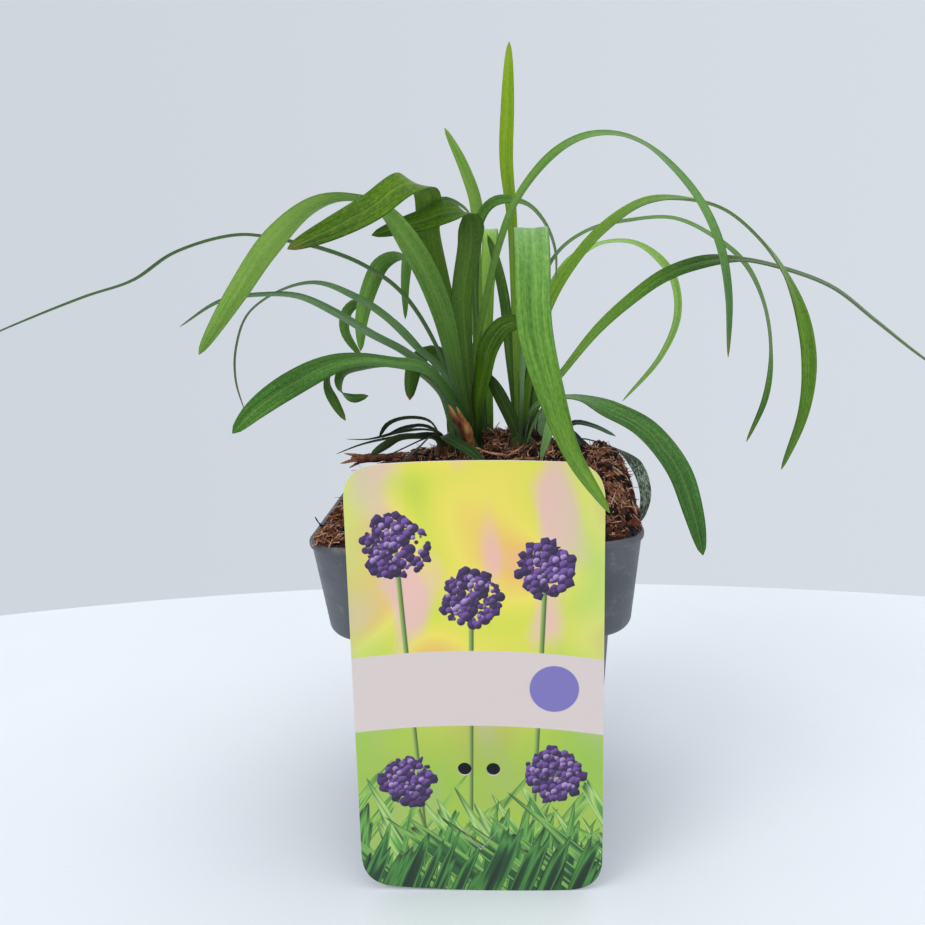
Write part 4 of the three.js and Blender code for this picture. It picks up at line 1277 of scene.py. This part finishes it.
def spine_mesh(name, leaves, foot, seed):
    """The middle lines of a shoot's blades as one mesh of edges, with their values on its points."""
    luck = np.random.default_rng(seed)
    lines, sides, edges, start = [], [], [], 0
    values = {key: [] for key in ("half", "along", "seed", "tone", "mottle", "dry")}
    for number, leaf in enumerate(leaves):
        line, side, half, share = spine(leaf, foot, luck)
        count = len(line)
        lines.append(line)
        sides.append(side)
        edges += [(start + i, start + i + 1) for i in range(count - 1)]
        start += count
        values["half"].append(half * MM)
        values["along"].append(share)
        values["seed"].append(np.full(count, LEAF_APART * number + SHOOT_APART * (seed - SEED)))
        for key in ("tone", "mottle", "dry"):
            marks = np.atleast_1d(leaf[key])
            values[key].append(np.interp(share, np.linspace(0, 1, len(marks)), marks))
    mesh = bpy.data.meshes.new(name)
    mesh.from_pydata((np.vstack(lines) * MM).tolist(), edges, [])
    for key, rows in values.items():
        mesh.attributes.new(key, "FLOAT", "POINT").data.foreach_set("value", np.concatenate(rows))
    vector = mesh.attributes.new("side", "FLOAT_VECTOR", "POINT")
    vector.data.foreach_set("vector", np.vstack(sides).ravel())
    piece = bpy.data.objects.new(name, mesh)
    bpy.context.collection.objects.link(piece)
    return piece


def blade_tree():
    """Sweeps a channelled lens along each line, with a keel under it, and notes where each point lies."""
    tree, given, result = new_group(
        "strap blade",
        [("Geometry", GEOMETRY, None), ("Section", WHOLE, BLADE_SIDES), ("Channel", FLOAT, 0.2),
         ("Thickness", FLOAT, 0.075), ("Keel", FLOAT, 0.07), ("Material", MATERIAL, None)],
        [("Geometry", GEOMETRY)], "GeometryNodeTree")
    lines = put(tree, "GeometryNodeMeshToCurve", {"Mesh": given["Geometry"]})
    normals = put(tree, "GeometryNodeSetCurveNormal", mode="FREE")
    tree.links.new(lines.outputs[0], normals.inputs["Curve"])
    tree.links.new(named(tree, "side", "FLOAT_VECTOR"), normals.inputs["Normal"])
    ring = put(tree, "GeometryNodeCurvePrimitiveCircle", {"Resolution": given["Section"], "Radius": 1.0})
    place = tree.nodes.new("GeometryNodeInputPosition").outputs[0]
    x, y, _ = parts_of(tree, place)
    marked = noted(tree, ring.outputs[0], "across", x)
    low = maths(tree, "LESS_THAN", y, -0.001)
    marked = noted(tree, marked, "under", low)
    off = maths(tree, "ABSOLUTE", x)
    lift = times(tree, maths(tree, "POWER", off, 1.3), given["Channel"])
    lens = times(tree, y, given["Thickness"])
    ridge = minus(tree, 1.0, times(tree, off, 4.0), clamp=True)
    ridge = times(tree, ridge, times(tree, low, given["Keel"]))
    height = minus(tree, plus(tree, lift, lens), ridge)
    shaped = put(tree, "GeometryNodeSetPosition", {"Geometry": marked,
                                                   "Position": joined(tree, x, height, 0.0)})
    swept = put(tree, "GeometryNodeCurveToMesh",
                {"Curve": normals.outputs[0], "Profile Curve": shaped.outputs[0],
                 "Scale": named(tree, "half"), "Fill Caps": True})
    smooth = put(tree, "GeometryNodeSetShadeSmooth", {"Geometry": swept.outputs[0], "Shade Smooth": True})
    return end_tree(tree, given, result, smooth.outputs[0])


def make_foot(name, at, radius, material):
    """The tight foot of a shoot, lapped by its sheaths."""
    collar = soil_top(*at)
    profile = ((0.8, ROOT_LEVEL + 0.2), (0.95, ROOT_LEVEL + 2), (0.98, collar - 3), (0.92, collar),
               (0.76, collar + 1.5), (0.55, collar + 3), (0.33, collar + 4.4), (0.12, collar + 5))
    rings = []
    for share, z in profile:
        ring = []
        for j in range(FOOT_SIDES):
            angle = 2 * math.pi * j / FOOT_SIDES
            lap = 1 + 0.07 * math.sin(angle * 3 + z * 0.35) + 0.035 * math.sin(angle * 11 + z * 0.2)
            ring.append((at[0] + radius * share * lap * math.cos(angle),
                         at[1] + radius * share * lap * math.sin(angle), z))
        rings.append(ring)
    foot = make_mesh(name, *stack(rings), material)
    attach(foot, "root")


# Each shoot is its node, its look, the place and the radius of its foot, and its blades.
SHOOTS = (
    ("shoot_front_left", "fresh", (-2, -3), 4.4, (
        # This blade's tone peaks at its crest: a painted highlight where the arch faces up to the light.
        blade(7.4, [0.5, 0.5, 0.66, 1.0, 0.8], [0.3, 0.4], 0, (-3, -4, 117, 25), (-5, -9, 138, 25),
              (-8, -14, 157, 50), (-14, -19, 172, 35), (-22, -21, 183, 0), (-29, -26, 185, 8),
              (-37, -32, 183, 40), (-46, -38, 175, 70), (-55, -42, 163, 75), (-65, -45, 149, 70)),
        blade(7.2, [0.66, 0.66, 0.62, 0.52, 0.36], 1.14, 0.2, (-2, -1, 117, 78), (-4, 1, 140, 78),
              (-8, -2, 162, 80), (-10, -8, 176, 75), (-10, -14, 186, 15), (-14, -25, 188, -55),
              (-22, -35, 182, -65), (-30, -47, 177, -65), (-38, -56, 173, -55)),
        blade(7, [0.42, 0.42, 0.34], 1, 0, (-1, -4, 117, 105), (-2, -6, 142, 108), (-2, -8, 158, 102),
              (1, -10, 174, 90), (1, -12, 180, 5), (-4, -14, 181, -62), (-12, -15, 179, -68),
              (-25, -16, 176, -60)),
        blade(2.6, 0.46, -0.3, 1, (-3, -1, 117, 60), (-11, 2, 144, 40), (-20, 0, 160, 38),
              (-30, -1, 168, 34), (-41, -2, 173, 32), (-52, -4, 176, 25), (-64, -6, 178, 18),
              (-82, -8, 174, 12), (-94, -10, 167, 10), (-108, -12, 163, 10), (-131, -16, 155, 8),
              (-146, -18, 149, 0)),
        blade(4.2, 0.6, -0.6, 0, (-4, -4, 117, 60), (-10, -10, 136, 42), (-18, -13, 144, 32),
              (-27, -17, 150, 30), (-35, -21, 156, 30), (-44, -24, 161, 20), (-52, -27, 162, 15),
              (-63, -30, 161, 20), (-74, -32, 155, 24)),
        blade(4, 0.62, -0.45, 0, (-3, -3, 117, 60), (-8, -4, 136, 40), (-16, -6, 145, 34),
              (-24, -8, 154, 32), (-32, -11, 160, 28), (-41, -13, 164, 18), (-50, -15, 163, 8),
              (-60, -17, 157, 5), (-64, -18, 148, 5), (-65, -18, 139, 5), (-63, -19, 130, 0)),
        blade(7.4, 0.5, 0, 0, (-1, -5, 117, -60), (-7, -12, 132, -52), (-13, -18, 140, -36),
              (-19, -22, 142, -25), (-27, -28, 144, -26), (-34, -34, 144, -29), (-44, -40, 140, -48),
              (-52, -45, 135, -60), (-57, -50, 130, -55)),
        blade(4.3, [0.8, 0.58], [0.95, -0.3], 0.4, (-1, -3, 117, 70), (0, -2, 140, 62), (4, -3, 156, 58),
              (9, -4, 173, 55), (14, -6, 184, 52), (23, -10, 194, 52), (31, -14, 198, 37),
              (39, -18, 198, 20), (46, -21, 195, 8), (53, -26, 188, 14), (59, -30, 179, 16),
              (63, -32, 169, 19), (65, -33, 157, 20), (65, -34, 142, 20)),
        blade(6.8, 0.36, 0.9, 0, (0, -4, 117, 60), (1, -7, 129, 50), (3, -9, 137, 62), (5, -10, 145, 78),
              (9, -10, 150, 70), (13, -9, 151, 60), (16, -8, 150, 60)),
        blade(3.4, 0.2, 0.2, 0, (-6, -4, 115, 20), (-9, -5, 119, 20), (-8, -9, 119, 20), (-5, -13, 118, 20),
              (-1, -19, 117, 20), (3, -26, 115, 20)),
    )),
    ("shoot_back_left", "fresh", (2, 12), 4, (
        blade(3.8, 0.84, 0.4, 0, (2, 11, 117, 80), (1, 10, 145, 80), (1, 11, 171, 80), (2, 11, 183, 80),
              (-1, 10, 194, 75), (-6, 8, 205, 70)),
        blade(3.6, 0.5, 0.4, 0, (2, 10, 117, 70), (1, 8, 142, 60), (1, 6, 162, 60), (3, 4, 179, 78),
              (8, 1, 184, 60), (16, 1, 183, 8), (21, 2, 178, 0), (24, 2, 170, 0), (24, 2, 159, 0)),
        blade(5.6, 0.66, 0.15, 0, (1, 12, 117, 70), (-5, 15, 135, 60), (-11, 19, 154, 50),
              (-17, 22, 165, 30), (-23, 24, 170, 25), (-29, 26, 168, 45), (-33, 27, 162, 60),
              (-37, 28, 151, 65), (-38, 28, 141, 65)),
        blade(4.6, 0.55, 0.1, 0, (1, 14, 117, 70), (1, 17, 141, 60), (1, 20, 165, 50), (0, 23, 180, 35),
              (-3, 26, 184, 30), (-8, 29, 186, 30), (-14, 32, 183, 50), (-20, 34, 176, 70),
              (-23, 35, 164, 75), (-24, 36, 150, 75)),
        blade(4.4, 0.95, 0.3, 0, (3, 12, 117, 0), (3, 14, 138, 0), (4, 17, 159, 0), (5, 23, 174, 0),
              (5, 32, 177, 0), (5, 48, 174, 0), (4, 62, 166, 0), (3, 72, 153, 0)),
    )),
    ("shoot_outer_left", "deep", (-8.5, 18), 3.8, (
        blade(3.8, 0.5, 0.2, 0.6, (-9, 20, 117, 60), (-12, 23, 131, 50), (-19, 27, 142, 42),
              (-27, 31, 150, 38), (-34, 34, 154, 35), (-39, 35, 156, 38), (-43, 35, 153, 50),
              (-44, 35, 147, 60), (-39, 35, 138, 65)),
        blade(4.6, 0.46, 0.3, 0.3, (-9, 16, 117, 60), (-13, 17, 130, 50), (-21, 19, 136, 40),
              (-31, 21, 138, 30), (-41, 23, 138, 20), (-47, 24, 136, 5), (-49, 25, 131, 0),
              (-47, 25, 125, 50), (-44, 25, 119, 60)),
        blade(4.8, 0.48, 0.3, 0.2, (-9, 19, 117, 60), (-13, 24, 127, 50), (-21, 28, 134, 45),
              (-29, 32, 136, 42), (-40, 35, 135, 40), (-47, 37, 132, 20), (-47, 36, 127, -25),
              (-43, 34, 125, -80), (-37, 31, 126, -90)),
        blade(6, 0.5, 0.3, 0.8, (-8, 16, 117, 60), (-8, 14, 131, 60), (-10, 13, 139, 60),
              (-14, 12, 141, 50), (-18, 12, 139, 65), (-20, 12, 133, 85), (-21, 12, 127, 85)),
        blade(5.6, 0.48, 0.2, 0, (-8, 19, 117, 0), (-6, 26, 131, 0), (-6, 36, 143, 0), (-6, 50, 149, 0),
              (-6, 66, 146, 0), (-7, 80, 135, 0)),
        blade(5.2, 0.45, 0.2, 0, (-9, 20, 117, 0), (-9, 30, 127, 5), (-12, 42, 135, 8), (-15, 58, 137, 10),
              (-20, 74, 131, 10)),
        blade(5, 0.42, 0.3, 0, (-9, 20, 113, 0), (-9, 31, 117, 0), (-9, 43, 115, 0), (-10, 55, 108, 0),
              (-11, 64, 97, 0)),
    )),
    ("shoot_front_right", "fresh", (13, -1), 4.4, (
        blade(4.6, [0.7, 0.7, 0.78, 0.88, 0.94], 1.15, 0.2, (12, 1, 117, 60), (12, 3, 133, 66),
              (12, 5, 156, 72), (12, 6, 179, 68), (11, 6, 195, 50), (12, 6, 211, 30), (13, 5, 226, 20)),
        blade(8.2, [0.8, 0.76, 0.68, 0.72, 0.66], [-0.5, -0.4, -0.3, 0.2, 0.8], 0, (13, -3, 117, 62),
              (14, -8, 135, 60), (16, -16, 155, 30), (17, -29, 171, 5), (17, -42, 175, 0),
              (17, -54, 169, 0), (17, -62, 153, -5), (20, -67, 139, -20), (24, -71, 127, -30),
              (32, -73, 114, -35)),
        blade(5.6, [0.95, 0.9, 0.62, 0.54, 0.54], 0.75, 0, (14, 0, 117, 60), (16, -1, 134, 55),
              (22, -4, 155, 55), (30, -8, 168, 48), (38, -12, 176, 42), (47, -16, 181, 28),
              (57, -20, 181, 6), (66, -22, 178, 0), (75, -23, 170, -3), (81, -24, 161, 8),
              (85, -26, 150, 32), (87, -26, 138, 42), (86, -26, 126, 38), (81, -26, 111, 40)),
        # This blade's tone is high along its rising stalk: a painted highlight where its upper face catches
        # the bright ceiling.
        blade(5.4, [0.85, 0.88, 0.42, 0.4, 0.5], 0.4, 0, (14, -2, 117, 40), (19, -4, 128, 30),
              (26, -6, 137, 30), (35, -9, 148, 37), (44, -11, 156, 42), (53, -12, 162, 46),
              (63, -13, 165, 42), (73, -14, 165, 12), (84, -16, 162, 8), (95, -18, 157, 6),
              (106, -19, 148, 5), (118, -21, 138, 5), (131, -24, 129, 5)),
        blade(7, [0.62, 0.42], [0, -0.15], 0, (14, -3, 117, 60), (17, -9, 127, 40), (24, -13, 130, 2),
              (31, -18, 130, 0), (37, -25, 128, 22), (45, -32, 124, 25), (52, -39, 115, 22),
              (55, -44, 105, 22), (57, -47, 95, 22)),
        blade(3.2, 0.84, -0.25, 0, (15, -4, 117, 60), (19, -8, 126, 40), (22, -13, 129, 10),
              (22, -18, 127, 0), (20, -21, 121, -15), (18, -22, 115, -15)),
        blade(4, 0.3, 0.2, 0, (12, -2, 117, 70), (8, -4, 128, 70), (5, -4, 134, 60), (3, -4, 137, 40)),
        blade(4, 0.55, 0.3, 0, (12, 2, 117, 90), (11, 4, 132, 90), (10, 5, 145, 90), (9, 6, 157, 90),
              (7, 6, 168, 90), (5, 7, 175, 90)),
    )),
    ("shoot_back_right", "fresh", (15, 14), 4, (
        blade(3.6, 0.56, 0.3, 0.3, (15, 13, 117, 60), (17, 11, 135, 50), (19, 10, 157, 40),
              (25, 8, 169, 28), (34, 5, 175, 22), (45, 3, 177, 20), (57, 2, 177, 16), (67, 0, 172, 15),
              (76, -1, 164, 18), (81, -3, 153, 10), (83, -4, 140, 14), (82, -4, 127, 48),
              (77, -4, 114, 60)),
        blade(4, 0.91, 0.3, 0, (16, 15, 117, 60), (18, 17, 137, 50), (22, 18, 155, 45), (29, 19, 166, 38),
              (38, 21, 171, 8), (48, 22, 171, 25), (56, 24, 166, 55), (61, 26, 159, 62), (62, 26, 148, 65),
              (57, 26, 136, 60), (45, 26, 122, 60)),
        blade(6.4, 0.5, 0.2, 0, (14, 15, 117, 0), (14, 20, 134, 0), (16, 27, 155, 0), (17, 38, 169, 0),
              (18, 50, 173, 0), (19, 64, 170, 0), (19, 78, 158, 0)),
        blade(5.6, 0.46, 0.2, 0, (16, 16, 117, 0), (17, 21, 126, 0), (18, 28, 136, 5), (19, 40, 143, 8),
              (20, 54, 141, 10), (20, 70, 131, 10)),
        blade(5, 0.7, -0.3, 0, (16, 16, 114, 0), (17, 28, 118, 0), (18, 40, 117, 0), (19, 52, 110, 0),
              (20, 62, 98, 0)),
        blade(4.4, 0.34, 0.1, 0, (17, 12, 117, 60), (18, 9, 124, 55), (19, 7, 129, 40), (21, 6, 131, 30)),
    )),
    ("low_leaves_left", "dark", (-11, 4), 2.8, (
        blade(2.6, 0.14, 0.2, 0, (-12, 5, 117, 40), (-15, 8, 121, 35), (-22, 9, 122, 35),
              (-28, 10, 120, 30), (-31, 10, 116, 30)),
        blade(2.4, 0.12, 0.1, 0, (-12, 4, 117, 40), (-15, 4, 120, 35), (-22, 4, 120, 30),
              (-29, 4, 117, 30)),
        blade(2.6, 0.1, 0.2, 0, (-12, 5, 117, 40), (-17, 10, 118, 30), (-25, 12, 117, 25),
              (-34, 13, 115, 20), (-42, 14, 115, 20)),
        blade(2.4, 0.14, 0.1, 0, (-12, 4, 117, 40), (-20, 2, 118, 30), (-28, 2, 117, 25), (-36, 4, 115, 20),
              (-44, 6, 112, 20)),
        blade(3.4, 0.12, 0.3, 0, (-12, 3, 116, 40), (-17, -1, 118, 40), (-23, -2, 118, 50),
              (-27, -2, 116, 70), (-32, -2, 113, 80)),
        blade(2.2, 0.1, 0.1, 0, (-11, 3, 117, 40), (-15, -4, 118, 30), (-21, -7, 116, 30),
              (-29, -10, 113, 20)),
        blade(2.2, 0.14, 0.1, 0, (-11, 5, 117, 40), (-17, 12, 119, 30), (-22, 20, 117, 20),
              (-28, 28, 114, 20)),
        blade(2.2, 0.1, 0.1, 0, (-11, 2, 117, 40), (-13, -5, 119, 30), (-16, -11, 117, 25),
              (-22, -18, 113, 20)),
    )),
    ("low_leaves_right", "dark", (25, 5), 2.5, (
        blade(2.2, [0.1, 0.2, 0.5], 0.2, 0, (26, 6, 117, 40), (29, 8, 119, 35), (34, 8, 118, 30),
              (41, 5, 115, 30)),
        blade(3.4, [0.08, 0.08, 0.14, 0.4, 0.32], [0.2, 0.2, 0.9, 1.5, 1.5], 0, (26, 4, 114, 30),
              (31, 3, 115, -25), (36, 1, 114, -25), (40, -4, 113, -20), (43, -10, 112, -5),
              (45, -16, 110, 40), (46, -20, 107, 40), (46, -24, 104, 35), (45, -27, 101, 30),
              (44, -30, 99, 30)),
        blade(2.4, 0.12, 0.1, 0, (24, 6, 116, 40), (27, 12, 116, 30), (31, 19, 112, 20), (36, 26, 106, 20)),
        blade(2.4, 0.14, 0.1, 0, (25, 4, 117, 40), (27, -2, 118, 30), (29, -8, 117, 20),
              (32, -15, 114, 20)),
    )),
)
# The dry husk at the foot of the front left shoot. Its fray is a fineness and an amount, twice.
HUSK = blade(3.6, 0.5, 0, 1, (-2, -8, 116, 65), (-2, -11, 120, 65), (-4, -12, 124, 65), (-7, -11, 129, 65))

HUSK_FRAY = ((0.45, 0.7), (1.3, 0.35))
HUSK_HELD, HUSK_FREE = 114, 8  # below this height it keeps still, and this far above it frays fully


def make_leaves():
    """Each shoot's blades and foot, and the dry husk."""
    sweep = blade_tree()
    looks = {
        "fresh": leaf_material("leaf_fresh", "#a9b544", 8.0, 1.0, 0.0, 0.0, 0.0),
        "deep": leaf_material("leaf_deep", "#a9b544", 8.0, 1.0, 0.0, -0.04, 0.03),
        "dark": leaf_material("leaf_dark_green", "#bccbba", 5.0, 0.0, 1.0, 0.0, 0.06),
    }
    base_look = foot_material()
    for number, (node, look, at, radius, leaves) in enumerate(SHOOTS):
        lines = spine_mesh("lines", leaves, at, SEED + number)
        blades = run_tree(lines, sweep, node + "_blades", Section=BLADE_SIDES, Channel=0.12,
                          Thickness=0.075, Keel=0.07, Material=looks[look])
        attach(blades, "root")
        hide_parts(node)
        make_foot(node + "_foot", at, radius, base_look)
    lines = spine_mesh("lines", [HUSK], SHOOTS[0][2], SEED)
    husk = run_tree(lines, sweep, "dry_husk_blade", Section=BLADE_SIDES, Channel=0.75, Thickness=0.05,
                    Keel=0.0, Material=husk_material())
    noise.seed_set(SEED)
    for point in husk.data.vertices:
        spot = point.co / MM
        fray = Vector()
        for fineness, amount in HUSK_FRAY:
            fray += noise.noise_vector(spot * fineness) * amount
        point.co += fray * MM * min(max((spot.z - HUSK_HELD) / HUSK_FREE, 0), 1)
    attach(husk, "root")


# ---- the whole scene ----
make_camera()
make_light()
make_table()
make_pot(pot_material())
make_soil(earth_material("potting_mix", 420.0, 0.0, 0.9))
make_litter(chip_tree(), fibre_tree(), earth_material("bark", 500.0, -0.34, 0.6),
            earth_material("coir", 700.0, 0.06, 0.3), earth_material("fine_roots", 700.0, 0.04, 0.3))
make_sliver(earth_material("old_bark", 600.0, 0.0, 0.9))
make_card(print_material(), card_back_material())
make_leaves()
